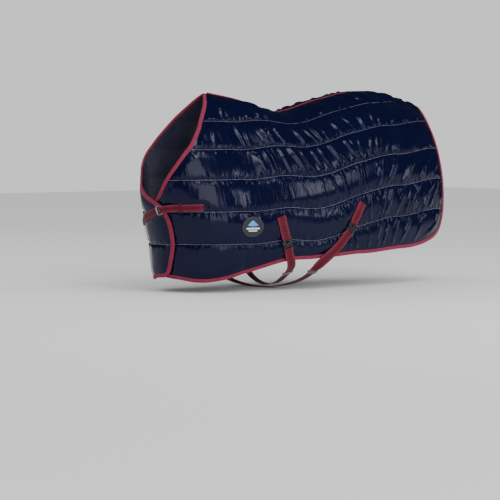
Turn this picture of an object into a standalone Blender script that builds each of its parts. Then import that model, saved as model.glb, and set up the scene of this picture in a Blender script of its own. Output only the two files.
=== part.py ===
"""Quilted stable rug for a horse, in metres. The origin is where the rug rests lowest on the back.

The rug faces -X: chest at the left, tail at the right, near (left) side at -Y, +Z up.
Every cloth layer is laid out on one body surface. A place on it is (p, q): p runs from
the chest to the tail, q down the side from the spine. A third number lifts it off the lining.
"""

import math
from bisect import bisect_right
from functools import lru_cache

import bpy
from mathutils import Matrix, Vector
from mathutils.geometry import delaunay_2d_cdt

# driving sizes, metres
SIDE_LENGTH = 1.66      # along the side, centre of chest to tail edge
BODY_DROP = 1.0         # scale of the depth down the side
BODY_WIDTH = 0.674      # widest, over the ribs
LINING = 0.0012
SHELL = 0.0012
WADDING_FULL = 0.0105   # middle of a quilted channel
WADDING_SEAM = 0.0048   # pressed under a quilt line
WADDING_EDGE = 0.0030   # pressed inside the binding
QUILT_FIRST = 0.165     # spine to the first quilt line
QUILT_PITCH = 0.149
QUILT_LINES = 5
BINDING_WIDTH = 0.016
BINDING_CLOTH = 0.0008
SURCINGLE_WIDTH = 0.045
CHEST_STRAP_WIDTH = 0.032
WEBBING = 0.0018
GAP = 0.0003            # between pieces that touch

SHOULDER = -0.392       # where the side wraps round to the chest
FAN = 0.46              # p from the shoulder to the middle of the chest
TAIL_P = 1.365
LENGTH_K = SIDE_LENGTH / 1.66
WIDTH_K = BODY_WIDTH / 0.674


def smooth(low, high, value):
    t = min(1.0, max(0.0, (value - low) / (high - low)))
    return t * t * (3 - 2 * t)


def curve(*points):
    """A smooth function through (x, y) points."""
    xs = [p[0] for p in points]
    ys = [p[1] for p in points]
    steps = [b - a for a, b in zip(xs, xs[1:])]
    slopes = [(b - a) / h for a, b, h in zip(ys, ys[1:], steps)]
    ends = [slopes[0]] + [(a + b) / 2 for a, b in zip(slopes, slopes[1:])] + [slopes[-1]]

    def value(x):
        i = min(max(bisect_right(xs, x) - 1, 0), len(xs) - 2)
        t = (x - xs[i]) / steps[i]
        if t < 0:
            return ys[0] + ends[0] * (x - xs[0])
        if t > 1:
            return ys[-1] + ends[-1] * (x - xs[-1])
        return (
            (1 + 2 * t) * (1 - t) ** 2 * ys[i]
            + t * (1 - t) ** 2 * steps[i] * ends[i]
            + t * t * (3 - 2 * t) * ys[i + 1]
            - t * t * (1 - t) * steps[i] * ends[i + 1]
        )

    return value


# the horse's shape under the rug
spine_height = curve((-0.42, 0.092), (-0.20, 0.055), (0, 0), (0.28, 0.058), (0.55, 0.103), (0.97, 0.035))
half_width = curve((-0.392, 0.29), (-0.15, 0.325), (0.10, 0.337), (0.35, 0.337), (0.60, 0.32),
                   (0.80, 0.285), (0.97, 0.235))
belly_tuck = curve((-0.392, 0.055), (-0.1, 0.03), (0.3, 0.02), (0.97, 0.02))
chest_reach = curve((-0.80, 0.245), (-0.62, 0.255), (-0.40, 0.31), (-0.27, 0.34), (-0.10, 0.36),
                    (0.1, 0.36))


@lru_cache(maxsize=None)
def rib(x):
    """The cross-section at x as (arc from the spine, half-width, height)."""
    withers = 1 - smooth(-0.40, 0.05, x)
    power, root, depth = 2 - 0.5 * withers, 2 - 0.8 * withers, 0.42 + 0.18 * withers
    width, top, tuck = half_width(x), spine_height(x), belly_tuck(x)
    arcs, points, arc = [], [], 0.0
    for i in range(91):
        if i <= 60:
            t = 1 - math.cos(i / 60 * math.pi / 2)
            y, fall = width * (1 - (1 - t) ** power) ** (1 / root), depth * t
        else:
            y, fall = width, depth + (i - 60) / 30 * (1.0 - depth)
        y -= tuck * max(0.0, (fall - 0.42) / 0.45) ** 2
        if points:
            arc += math.hypot(y - points[-1][0], top - fall - points[-1][1])
        arcs.append(arc)
        points.append((y, top - fall))
    return arcs, points


def across(x, q):
    arcs, points = rib(round(x, 5))
    q = max(0.0, min(q, arcs[-1] - 1e-9))
    i = min(max(bisect_right(arcs, q) - 1, 0), len(points) - 2)
    t = (q - arcs[i]) / (arcs[i + 1] - arcs[i])
    return [a * (1 - t) + b * t for a, b in zip(points[i], points[i + 1])]


def body(p, q):
    """The bare surface on the near side. Past the middle of the chest it carries on round to the off side."""
    if p >= 0:
        x = SHOULDER + p
        y, z = across(x, q)
        return Vector((x * LENGTH_K, -y * WIDTH_K, z * BODY_DROP))
    turn = math.pi / 2 * (1 + p / FAN)
    y, z = across(SHOULDER, q)
    reach = chest_reach(z) * math.cos(turn)
    return Vector(((SHOULDER - reach) * LENGTH_K, -y * math.sin(turn) * WIDTH_K, z * BODY_DROP))


@lru_cache(maxsize=None)
def facing(p, q):
    along = body(p + 0.012, q) - body(p - 0.012, q)
    down = body(p, q + 0.004) - body(p, max(q - 0.004, 0))
    normal = down.cross(along).normalized()
    ridge = Vector((normal.x, 0, max(normal.z, 0.3))).normalized()
    return normal.lerp(ridge, 1 - smooth(0.0, 0.09, q)).normalized() if p > -0.2 else normal


def lift(p):
    """The off side's chest lies over the near side's."""
    return 0.0155 * smooth(-0.32, -0.395, p) if p < 0 else 0.0


def place(p, q, height, side):
    """side is -1 for the near (left) panel and +1 for the off one."""
    spot = body(p, q) + facing(round(p, 6), round(q, 6)) * (height + (lift(p) if side > 0 else 0))
    return Vector((spot.x, spot.y * -side, spot.z))


def shifted(p, q, move):
    """The (p, q) that is `move` metres off along the surface."""
    target = body(p, q) + move
    for _ in range(3):
        here = body(p, q)
        dp = (body(p + 1e-4, q) - body(p - 1e-4, q)) / 2e-4
        dq = (body(p, q + 1e-4) - body(p, max(q - 1e-4, 0))) / (1e-4 + min(q, 1e-4))
        off = target - here
        a, b, c = dp.dot(dp), dp.dot(dq), dq.dot(dq)
        d, e = dp.dot(off), dq.dot(off)
        scale = a * c - b * b
        p, q = p + (c * d - b * e) / scale, max(0.0, q + (a * e - b * d) / scale)
    return p, q


# ---- outline of one panel, spine edge first, then tail, hem, front and neck ----
tail_edge = [(TAIL_P, 0.0), (1.318, 0.055), (1.285, 0.135), (1.272, 0.22), (1.275, 0.31), (1.281, 0.40),
             (1.289, 0.48), (1.295, 0.56), (1.292, 0.635), (1.277, 0.70), (1.248, 0.757), (1.206, 0.803),
             (1.146, 0.845)]
hem_edge = [(1.146, 0.845), (1.075, 0.882), (0.995, 0.908), (0.90, 0.918), (0.80, 0.914), (0.70, 0.900),
            (0.60, 0.880), (0.50, 0.858), (0.41, 0.845), (0.32, 0.848), (0.24, 0.857), (0.155, 0.868),
            (0.075, 0.882), (0.0, 0.901), (-0.07, 0.918), (-0.14, 0.931), (-0.21, 0.938), (-0.28, 0.936),
            (-0.35, 0.927)]
front_edge = {
    -1: [(-0.43, 0.920), (-0.485, 0.912), (-0.508, 0.885), (-0.510, 0.82), (-0.510, 0.745), (-0.510, 0.68)],
    1: [(-0.43, 0.920), (-0.482, 0.915), (-0.512, 0.893), (-0.530, 0.834), (-0.548, 0.76), (-0.550, 0.69)],
}
neck_edge = {
    -1: [(-0.508, 0.635), (-0.492, 0.598), (-0.455, 0.562), (-0.412, 0.524)],
    1: [(-0.543, 0.635), (-0.520, 0.585), (-0.475, 0.556), (-0.418, 0.526)],
}
neck_rest = [(-0.368, 0.472), (-0.326, 0.428), (-0.29, 0.392), (-0.256, 0.357), (-0.225, 0.325),
             (-0.192, 0.291), (-0.160, 0.248), (-0.127, 0.198), (-0.098, 0.145), (-0.070, 0.098),
             (-0.045, 0.052), (-0.02, 0.0)]
SEAM_Q = 0.0005
SPINE_STEPS = 15


def outline(side):
    first = shifted(-0.02, SEAM_Q, Vector((BINDING_WIDTH, 0, 0)))[0]
    last = TAIL_P - BINDING_WIDTH / LENGTH_K
    spine = [(-0.02, 0.0)] + [(first + (last - first) * i / SPINE_STEPS, 0.0) for i in range(SPINE_STEPS + 1)]
    edges = {
        "spine": spine,
        "tail": tail_edge[:-1],
        "hem": hem_edge,
        "front": front_edge[side],
        "neck": neck_edge[side] + neck_rest[:-1],
    }
    points, spans, start = [], {}, 0
    for name, part in edges.items():
        points += [(p, max(q, SEAM_Q)) for p, q in part]
        spans[name] = (start, start + len(part))
        start += len(part)
    return points, spans


def inward(points, i, side):
    """Unit direction off the edge into the panel, in the surface, at outline point i."""
    p, q = points[i]
    before, after = body(*points[i - 1]), body(*points[(i + 1) % len(points)])
    here = body(p, q)
    a, b = (here - before).normalized(), (after - here).normalized()
    normal = facing(round(p, 6), round(q, 6))
    into_a, into_b = a.cross(normal).normalized(), b.cross(normal).normalized()
    both = (into_a + into_b).normalized()
    return both / max(0.5, both.dot(into_a))


def distance_to(points, p, q):
    best = 9.0
    for (a, b), (c, d) in zip(points, points[1:] + points[:1]):
        if max(b, d) <= SEAM_Q * 1.01:
            continue
        along = (p - a) * (c - a) + (q - b) * (d - b)
        t = max(0.0, min(1.0, along / ((c - a) ** 2 + (d - b) ** 2 + 1e-12)))
        best = min(best, math.hypot(a + t * (c - a) - p, b + t * (d - b) - q))
    return best


def quilt_line(number, p):
    return QUILT_FIRST + QUILT_PITCH * number - 0.135 * smooth(0.92, 1.36, p)


def wadding(points, p, q):
    """Thickness of the wadding at a place."""
    edge = smooth(0.004, 0.055, distance_to(points, p, q)) if q > SEAM_Q * 1.01 else 0.0
    seam = min(abs(q - quilt_line(k, p)) for k in range(QUILT_LINES))
    seam = min(seam, q) if p > -0.02 else seam
    full = WADDING_SEAM + (WADDING_FULL - WADDING_SEAM) * smooth(0.0, QUILT_PITCH / 2, seam)
    full = min(full, WADDING_FULL - 0.003 * smooth(-0.36, -0.42, p))
    return WADDING_EDGE + (full - WADDING_EDGE) * edge


# ---- meshes ----
COLOURS = {
    "shell_nylon": (0.012, 0.016, 0.060),
    "lining_nylon": (0.020, 0.024, 0.060),
    "wadding": (0.80, 0.80, 0.78),
    "binding": (0.17, 0.012, 0.028),
    "webbing": (0.20, 0.010, 0.022),
    "metal": (0.62, 0.62, 0.62),
    "plastic": (0.012, 0.012, 0.012),
    "badge": (0.03, 0.10, 0.30),
}


def solid(name, slot, vertices, faces):
    mesh = bpy.data.meshes.new(name)
    mesh.from_pydata([tuple(v) for v in vertices], [], faces)
    mesh.validate()
    mesh.update()
    volume = sum(
        mesh.vertices[t[0]].co.dot(mesh.vertices[t[k]].co.cross(mesh.vertices[t[k + 1]].co))
        for t in (tuple(f.vertices) for f in mesh.polygons)
        for k in range(1, len(t) - 1)
    )
    if volume < 0:
        mesh.flip_normals()
    material = bpy.data.materials.new(name + "_material")
    material.diffuse_color = (*COLOURS[slot], 1)
    material.metallic = 1.0 if slot == "metal" else 0.0
    mesh.materials.append(material)
    item = bpy.data.objects.new(name, mesh)
    bpy.context.scene.collection.objects.link(item)
    return item


def tube(name, slot, rings, closed=False, split=None):
    """A closed body through rings of equal length.

    split(i, k) is the corner that the diagonal of quad k after ring i leaves.
    """
    size = len(rings[0])
    vertices = [v for ring in rings for v in ring]
    faces = []
    count = len(rings)
    for i in range(count if closed else count - 1):
        a, b = i * size, (i + 1) % count * size
        for k in range(size):
            quad = (a + k, a + (k + 1) % size, b + (k + 1) % size, b + k)
            if split is None:
                faces.append(quad)
            else:
                quad = quad[split(i, k):] + quad[:split(i, k)]
                faces += [quad[:3], (quad[0], quad[2], quad[3])]
    if not closed:
        faces += [tuple(range(size))[::-1], tuple((count - 1) * size + k for k in range(size))]
    return solid(name, slot, vertices, faces)


class Panel:
    """One side of the rug: its net of triangles in (p, q) and the height of each layer over it."""

    def __init__(self, side):
        self.side = side
        self.points, self.spans = outline(side)
        count = len(self.points)
        self.inward = [inward(self.points, i, side) for i in range(count)]
        self.inner = []
        for (p, q), into in zip(self.points, self.inward):
            self.inner.append(shifted(p, q, into * BINDING_WIDTH))
        start, stop = self.spans["spine"]
        for i in range(start + 1, stop):
            self.inner[i] = (self.points[i][0], 0.016)
        self.inner[start + 1] = (self.points[start + 1][0] + 0.006, 0.016)
        self.inner[stop - 1] = (self.points[stop - 1][0] - 0.024, 0.016)
        self.inner[start] = self.points[start + 1]
        self.inner[stop] = self.points[stop - 1]
        places = list(self.points) + list(self.inner)
        lines = [(i, (i + 1) % count) for i in range(count)]
        lines += [(count + i, count + (i + 1) % count) for i in range(count)]
        lines += [(i, count + i) for i in range(count)]
        first = len(places)
        levels = [0.5 * QUILT_FIRST]
        for row in range(2 * QUILT_LINES + 1):
            levels.append(QUILT_FIRST + QUILT_PITCH * row / 2)
        for level in levels:
            columns = 20 if level < 0.5 else 21
            for i in range(columns + 1):
                p = -0.545 + 1.86 * i / columns
                q = level - 0.135 * smooth(0.92, 1.36, p) * min(1.0, level / QUILT_FIRST)
                if self.inside(p, q) and distance_to(self.points, p, q) > 0.042:
                    places.append((p, q))
        for i in range(first, len(places) - 1):
            if abs(places[i][0] - places[i + 1][0]) < 0.1 and abs(places[i][1] - places[i + 1][1]) < 0.03:
                lines.append((i, i + 1))
        flat, _, faces, origins, _, _ = delaunay_2d_cdt(
            [Vector(v) for v in places], lines, [tuple(range(count))], 1, 1e-7
        )
        self.net = [(v.x, v.y) for v in flat]
        self.faces = [tuple(f) for f in faces]
        became = {old: new for new, olds in enumerate(origins) for old in olds}
        joined = {frozenset(pair) for f in self.faces for pair in zip(f, f[1:] + f[:1])}
        self.rising = [
            frozenset((became[i], became[count + (i + 1) % count])) in joined for i in range(count)
        ]
        used = {}
        for face in self.faces:
            for a, b in zip(face, face[1:] + face[:1]):
                used[(a, b)] = used.get((a, b), 0) + 1
        self.rim = [(a, b) for a, b in used if (b, a) not in used]
        self.thick = [wadding(self.points, p, q) for p, q in self.net]

    def inside(self, p, q):
        hit = False
        for (a, b), (c, d) in zip(self.points, self.points[1:] + self.points[:1]):
            if (b > q) != (d > q) and p < (c - a) * (q - b) / (d - b) + a:
                hit = not hit
        return hit

    def layer(self, name, slot, low, high):
        """A closed sheet between two heights, each given the wadding's thickness there."""
        bottom = [place(p, q, low(t), self.side) for (p, q), t in zip(self.net, self.thick)]
        top = [place(p, q, high(t), self.side) for (p, q), t in zip(self.net, self.thick)]
        count = len(bottom)
        faces = [tuple(count + i for i in face) for face in self.faces]
        faces += [face[::-1] for face in self.faces]
        faces += [(a, b, count + b, count + a) for a, b in self.rim]
        return solid(name, slot, bottom + top, faces)

    def outside(self, p, q):
        """Height of the shell's outer face."""
        return LINING + SHELL + 2 * GAP + wadding(self.points, p, q)

    def binding(self, name, part):
        start, stop = self.spans[part]
        indices = list(range(start, stop + 1))
        rings = []
        count = len(self.points)
        for i in indices:
            k = i % count
            p, q = self.points[k]
            into = self.inward[k]
            if k in (self.spans["tail"][0], 0):
                into = Vector((1, 0, 0)) if k == 0 else Vector((-1, 0, 0))
                into = (into - facing(round(p, 6), round(q, 6)) * into.dot(facing(round(p, 6), round(q, 6))))
                into.normalize()
            slide = Vector((0, 0, 0))
            if i == start:
                nxt = self.points[(i + 1) % count]
                slide = (body(*nxt) - body(p, q)).normalized() * GAP
            if i == stop:
                prev = self.points[(i - 1) % count]
                slide = (body(*prev) - body(p, q)).normalized() * GAP
            ring = []
            reach = BINDING_WIDTH
            edge_top, inner_top = self.outside(p, q), self.outside(*shifted(p, q, into * reach))
            cloth, gap = BINDING_CLOTH, GAP
            profile = [
                (reach, -gap), (-2 * gap, -gap), (-2 * gap, edge_top + gap), (reach, inner_top + gap),
                (reach, inner_top + gap + cloth), (-2 * gap - cloth, edge_top + gap + cloth),
                (-2 * gap - cloth, -gap - cloth), (reach, -gap - cloth),
            ]
            for off, height in profile:
                a, b = shifted(p, q, into * off + slide)
                ring.append(place(a, max(b, SEAM_Q), height, self.side))
            rings.append(ring)
        def split(i, k):
            rising = self.rising[indices[i] % count]
            return int(rising if k in (0, 1, 4, 5) else not rising)

        return tube(name, "binding", rings, split=split)


bpy.ops.object.select_all(action="DESELECT")
for item in list(bpy.data.objects):
    bpy.data.objects.remove(item, do_unlink=True)

panels = {"left": Panel(-1), "right": Panel(1)}
for word, panel in panels.items():
    panel.layer("lining_" + word, "lining_nylon", lambda t: 0.0, lambda t: LINING)
    panel.layer("wadding_" + word, "wadding", lambda t: LINING + GAP, lambda t: LINING + GAP + t)
    panel.layer(
        "outer_shell_" + word, "shell_nylon",
        lambda t: LINING + 2 * GAP + t, lambda t: LINING + 2 * GAP + t + SHELL,
    )
    for part in ("tail", "hem", "front", "neck"):
        panel.binding(part + "_binding_" + word, part)


# ---- the back seam ----
near = panels["left"]
stations = [p for p, _ in near.points[1:near.spans["spine"][1]]]
stations[0] += 0.0012
piping, tape = [], []
for number, p in enumerate(stations):
    last = number == len(stations) - 1
    tape_p, p = p - 0.022 * last, p - 0.009 * last
    seam_top = near.outside(p, 0.0)
    side_top = seam_top + (near.outside(p, 0.016) - seam_top) * 0.35 + 0.0008
    half = [(0.0055, side_top), (0.0045, side_top + 0.0024), (SEAM_Q, side_top + 0.0034)]
    rising = [place(p, q, height, -1) for q, height in half]
    rising[-1].y = 0.0
    base = place(p, SEAM_Q, seam_top + 0.0008, -1)
    base.y = 0.0
    falling = [Vector((v.x, -v.y, v.z)) for v in rising[1::-1]]
    piping.append(rising + falling + [base])
    under = [place(tape_p, q, -0.0020 - drop, side) for q, drop, side in (
        (0.016, 0.0, -1), (SEAM_Q, 0.0, -1), (SEAM_Q, 0.0, 1), (0.016, 0.0, 1),
        (0.016, 0.0009, 1), (SEAM_Q, 0.0009, 1), (SEAM_Q, 0.0009, -1), (0.016, 0.0009, -1),
    )]
    tape.append(under)
tube("spine_piping", "binding", piping)
tube("spine_tape", "binding", tape, split=lambda i, k: int(k in (2, 6)))


# ---- webbing and hardware helpers ----
def ribbon(name, slot, stations, holes=(), split_ply=WEBBING):
    """Webbing through stations, each a list of (middle, normal) across the strap.

    holes are (station, lane).
    """
    lanes = len(stations[0]) - 1
    low, high = [], []
    for row in stations:
        low += [spot - normal * split_ply / 2 for spot, normal in row]
        high += [spot + normal * split_ply / 2 for spot, normal in row]
    count = len(low)
    cells = {(i, k) for i in range(len(stations) - 1) for k in range(lanes)} - set(holes)
    faces = []
    for i, k in sorted(cells):
        a = i * (lanes + 1) + k
        b = a + lanes + 1
        faces.append((count + a, count + a + 1, count + b + 1, count + b))
        faces.append((a, b, b + 1, a + 1))
        sides = (
            ((i, k - 1), (b, a)), ((i, k + 1), (a + 1, b + 1)),
            ((i - 1, k), (a, a + 1)), ((i + 1, k), (b + 1, b)),
        )
        for other, (u, v) in sides:
            if other not in cells:
                faces.append((u, v, count + v, count + u))
    used = sorted({v for face in faces for v in face})
    renumber = {old: new for new, old in enumerate(used)}
    vertices = low + high
    return solid(name, slot, [vertices[v] for v in used], [tuple(renumber[v] for v in f) for f in faces])


def across_strap(name, points, cells):
    """A side view drawn as cells between points, carried across the strap. Each point is its two ends."""
    count = len(points)
    vertices = [row[0][0] for row in points] + [row[-1][0] for row in points]
    edges = [pair for cell in cells for pair in zip(cell, cell[1:] + cell[:1])]
    faces = [cell[::-1] for cell in cells] + [tuple(count + v for v in cell) for cell in cells]
    faces += [(a, b, count + b, count + a) for a, b in edges if (b, a) not in edges]
    return solid(name, "webbing", vertices, faces)


def prism(outline_xy, z0, z1):
    count = len(outline_xy)
    vertices = [(x, y, z0) for x, y in outline_xy] + [(x, y, z1) for x, y in outline_xy]
    faces = [tuple(range(count))[::-1], tuple(range(count, 2 * count))]
    faces += [(k, (k + 1) % count, count + (k + 1) % count, count + k) for k in range(count)]
    return vertices, faces


def block(x0, x1, y0, y1, z0, z1, corner=0.0):
    if not corner:
        return prism([(x0, y0), (x1, y0), (x1, y1), (x0, y1)], z0, z1)
    points = []
    for cx, cy, start in ((x1 - corner, y0 + corner, -90), (x1 - corner, y1 - corner, 0),
                          (x0 + corner, y1 - corner, 90), (x0 + corner, y0 + corner, 180)):
        for step in range(4):
            turn = math.radians(start + 30 * step)
            points.append((cx + corner * math.cos(turn), cy + corner * math.sin(turn)))
    return prism(points, z0, z1)


def rod(radius, z0, z1, sides=12):
    turns = [2 * math.pi * k / sides for k in range(sides)]
    return prism([(radius * math.cos(t), radius * math.sin(t)) for t in turns], z0, z1)


def combined(name, slot, first, steps, matrix):
    """first joined with or cut by each (operation, solid) in steps, then moved by matrix."""

    def loose(data):
        mesh = bpy.data.meshes.new("piece")
        mesh.from_pydata(data[0], [], data[1])
        item = bpy.data.objects.new("piece", mesh)
        bpy.context.scene.collection.objects.link(item)
        return item

    base = loose(first)
    others = []
    for operation, data in steps:
        other = loose(data)
        others.append(other)
        modifier = base.modifiers.new("step", "BOOLEAN")
        modifier.operation = operation
        modifier.solver = "EXACT"
        modifier.object = other
    bpy.context.view_layer.update()
    mesh = bpy.data.meshes.new_from_object(base.evaluated_get(bpy.context.evaluated_depsgraph_get()))
    vertices = [matrix @ v.co for v in mesh.vertices]
    faces = [tuple(f.vertices) for f in mesh.polygons]
    for item in [base, *others]:
        bpy.data.objects.remove(item, do_unlink=True)
    return solid(name, slot, vertices, faces)


def spline(points, steps):
    """Catmull-Rom samples through points, which are Vectors."""
    padded = [points[0] * 2 - points[1], *points, points[-1] * 2 - points[-2]]
    result = []
    for i in range(1, len(padded) - 2):
        a, b, c, d = padded[i - 1:i + 3]
        for k in range(steps):
            t = k / steps
            result.append(0.5 * ((2 * b) + (c - a) * t + (2 * a - 5 * b + 4 * c - d) * t * t
                                 + (3 * b - a - 3 * c + d) * t ** 3))
    return result + [points[-1]]


class Track:
    """A path over the rug: middle, normal and lateral at any length along it."""

    def __init__(self, spots, normals, steps=8):
        self.spots = spline(spots, steps)
        self.normals = spline(normals, steps)
        self.reach = [0.0]
        for a, b in zip(self.spots, self.spots[1:]):
            self.reach.append(self.reach[-1] + (b - a).length)
        self.length = self.reach[-1]

    def at(self, s):
        i = min(max(bisect_right(self.reach, s) - 1, 0), len(self.spots) - 2)
        t = (s - self.reach[i]) / (self.reach[i + 1] - self.reach[i])
        spot = self.spots[i].lerp(self.spots[i + 1], t)
        before, after = self.spots[max(i - 1, 0)], self.spots[min(i + 2, len(self.spots) - 1)]
        ahead = (after - before).normalized()
        normal = self.normals[i].lerp(self.normals[i + 1], min(1.0, max(0.0, t)))
        normal = (normal - ahead * normal.dot(ahead)).normalized()
        return spot, ahead, normal, ahead.cross(normal)

    def matrix(self, s):
        """Local frame: x across, y along, z out."""
        spot, ahead, normal, side = self.at(s)
        return Matrix((side, ahead, normal)).transposed().to_4x4(), spot

    def frame(self, s):
        turn, spot = self.matrix(s)
        return Matrix.Translation(spot) @ turn

    def row(self, s, height, offsets):
        spot, ahead, normal, side = self.at(s)
        return [(spot + normal * height + side * off, normal) for off in offsets]


def local_row(frame, y, z, tilt, offsets):
    """A station in a local frame; tilt is the ply's normal as an angle from +z towards +y."""
    normal = (frame.to_3x3() @ Vector((0, math.sin(tilt), math.cos(tilt)))).normalized()
    return [(frame @ Vector((off, y, z)), normal) for off in offsets]


def loop_rows(frame, y, z, radius, start, stop, count, offsets):
    """Stations round a bar at (y, z). Angles run from +y towards +z."""
    rows = []
    for i in range(count + 1):
        turn = start + (stop - start) * i / count
        rows.append(local_row(
            frame, y + radius * math.cos(turn), z + radius * math.sin(turn), math.pi / 2 - turn, offsets,
        ))
    return rows


def turned(rows):
    """The same stations with their normals the other way, for a ply that a loop brings round underneath."""
    return [[(spot, -normal) for spot, normal in row] for row in rows]


# ---- the two crossed surcingles ----
REST = LINING + SHELL + 2 * GAP + WADDING_FULL + 0.0006
PLY_LOW, PLY_HIGH = 0.0011, 0.0011 + WEBBING + 2 * GAP
BAR_Z = 0.0057
HALF = SURCINGLE_WIDTH / 2


def surcingle(word, near_path, off_path, chape_length, drop, folded):
    spots, normals = [], []
    for p, q in near_path:
        spots.append(place(p, q, REST, -1))
        normals.append((place(p, q, REST + 0.1, -1) - place(p, q, REST, -1)).normalized())
    first_off = place(*off_path[0], REST, 1)
    last_near = spots[-1]
    for t, z in ((0.13, -0.752), (0.30, -0.790), (0.5, -0.804), (0.70, -0.790), (0.87, -0.752)):
        spot = last_near.lerp(first_off, t)
        spots.append(Vector((spot.x, spot.y, (z - drop) * BODY_DROP)))
        slant = (t - 0.5) * 2.4
        normals.append(Vector((0, slant, -1)).normalized())
    for p, q in off_path:
        spots.append(place(p, q, REST, 1))
        normals.append((place(p, q, REST + 0.1, 1) - place(p, q, REST, 1)).normalized())
    track = Track(spots, normals)
    edges = [-HALF, HALF]

    # chape: webbing sewn double, with an eye left round the slot plate's bar
    plate = track.frame(chape_length)
    bottom, top, sewn = PLY_LOW - WEBBING / 2, PLY_HIGH + WEBBING / 2, 6
    points = []
    for k in range(sewn + 1):
        s = (chape_length - 0.015) * k / sewn
        points += [track.row(s, bottom, edges), track.row(s, top, edges)]
    apex = len(points)
    points.append(track.row(chape_length - 0.0125, (bottom + top) / 2, edges))
    turns = [math.pi * (-0.60 + 1.20 * k / 8) for k in range(9)]
    for radius in (0.0045, 0.0027):
        for turn in turns:
            y, z = -0.00175 + radius * math.cos(turn), BAR_Z + radius * math.sin(turn)
            points.append(local_row(plate, y, z, 0.0, edges))
    outer, inner = apex + 1, apex + 1 + len(turns)
    cells = [(2 * k, 2 * k + 2, 2 * k + 3, 2 * k + 1) for k in range(sewn)]
    cells.append((apex - 2, apex, apex - 1))
    cells.append((apex - 2, outer, inner, apex))
    cells += [(outer + k, outer + k + 1, inner + k + 1, inner + k) for k in range(len(turns) - 1)]
    cells.append((inner - 1, apex - 1, apex, inner + len(turns) - 1))
    across_strap(word + "_surcingle_chape", points, cells)

    wide = HALF + 0.0035
    inner = HALF + 0.0009
    low, high = BAR_Z - 0.0012, BAR_Z + 0.0012
    keyhole = [("DIFFERENCE", block(-inner, inner, 0.0, 0.0046, 0, 0.02)),
               ("DIFFERENCE", block(-0.0095, 0.0095, 0.0085, 0.0135, 0, 0.02)),
               ("DIFFERENCE", block(-0.0034, 0.0034, 0.013, 0.0225, 0, 0.02))]
    whole = block(-wide, wide, -0.0035, 0.027, low, high, 0.004)
    combined(word + "_slot_plate", "metal", whole, keyhole, plate)

    neck_y = 0.0187
    hook = track.frame(chape_length) @ Matrix.Translation((0, neck_y, 0))
    under = low - 0.0007
    steps = [
        ("UNION", block(-0.006, 0.006, 0.012, 0.0155, 0.0020, high)),
        ("UNION", block(-wide, wide, 0.0125, 0.0292, low, high, 0.0035)),
        ("DIFFERENCE", block(-inner, inner, 0.0175, 0.0248, 0, 0.02)),
        ("UNION", rod(0.0026, under - 0.0006, high + 0.0013, 12)),
        ("UNION", block(-0.0085, 0.0085, -0.0026, 0.0026, high + 0.0007, high + 0.0029, 0.0012)),
    ]
    tongue = block(-0.006, 0.006, -0.0026, 0.0145, 0.0020, under)
    combined(word + "_t_hook", "plastic", tongue, steps, hook)

    # the long strap: folded round the hook's bar, its end sewn back on itself at the slider
    bar = neck_y + 0.0270
    start = chape_length + bar + 0.016
    fold = chape_length + bar + folded
    parts = round((fold - start) / 0.022)
    doubled = [start + (fold - start) * k / parts for k in range(parts + 1)]
    rest = [fold + (track.length - fold) * k / 27 for k in range(1, 28)]
    rows = turned([track.row(s, PLY_LOW, edges) for s in reversed(doubled)])
    rows += loop_rows(plate, bar, BAR_Z, 0.0042, -math.pi * 0.45, -math.pi * 1.55, 8, edges)
    rows += [track.row(s, PLY_HIGH, edges) for s in doubled + rest]
    ribbon(word + "_surcingle_strap", "webbing", rows)

    slide_at = track.frame(fold - 0.018)
    top = PLY_HIGH + WEBBING / 2 + 0.0009
    bottom = PLY_LOW - WEBBING / 2 - 0.0009
    edge = HALF + 0.0008
    out = HALF + 0.0034
    steps = [
        ("DIFFERENCE", block(-edge + 0.001, edge - 0.001, -0.0095, -0.0020, top - 0.001, top + 0.01)),
        ("DIFFERENCE", block(-edge + 0.001, edge - 0.001, 0.0020, 0.0095, top - 0.001, top + 0.01)),
        ("UNION", block(edge, out, -0.004, 0.004, bottom - 0.0016, top + 0.0008)),
        ("UNION", block(-out, -edge, -0.004, 0.004, bottom - 0.0016, top + 0.0008)),
        ("UNION", block(-out, out, -0.004, 0.004, bottom - 0.0018, bottom)),
    ]
    face = block(-out, out, -0.013, 0.013, top, top + 0.0018, 0.003)
    combined(word + "_slider", "metal", face, steps, slide_at)
    return track


front_track = surcingle(
    "front", [(0.172, 0.648), (0.190, 0.705), (0.206, 0.760), (0.221, 0.815), (0.240, 0.882)],
    [(0.500, 0.880), (0.545, 0.820), (0.590, 0.755), (0.630, 0.690)], 0.112, 0.0, 0.165,
)
rear_track = surcingle(
    "rear", [(0.662, 0.652), (0.618, 0.715), (0.572, 0.768), (0.505, 0.816), (0.400, 0.872)],
    [(0.262, 0.885), (0.238, 0.825), (0.214, 0.760), (0.190, 0.690)], 0.118, 0.011, 0.300,
)


# ---- chest fastening: p falls from the near side round to the off side ----
off = panels["right"]
CHEST_HALF = CHEST_STRAP_WIDTH / 2
BAR_LIFT = 0.0072       # buckle bars above the cloth


def chest_q(p):
    return 0.592 + 0.075 * smooth(-0.36, -0.66, p)


def chest_rest(p):
    """Height the chest strap lies at: on the near panel, then stepping up on to the off one."""
    q = chest_q(p)
    spread = (q - 0.017, q, q + 0.017)
    near_top = max(near.outside(p, v) for v in spread) if p > -0.37 else 0.0
    far = -2 * FAN - min(p, -0.375)
    far_top = max(off.outside(far, v) for v in spread) + lift(far) + BINDING_CLOTH + GAP
    return near_top * (1 - smooth(-0.338, -0.372, p)) + far_top * smooth(-0.338, -0.372, p) + 0.0009


def chest_spot(p, extra=0.0):
    q = chest_q(p)
    return body(p, q) + facing(round(p, 6), round(q, 6)) * (chest_rest(p) + extra)


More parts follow.
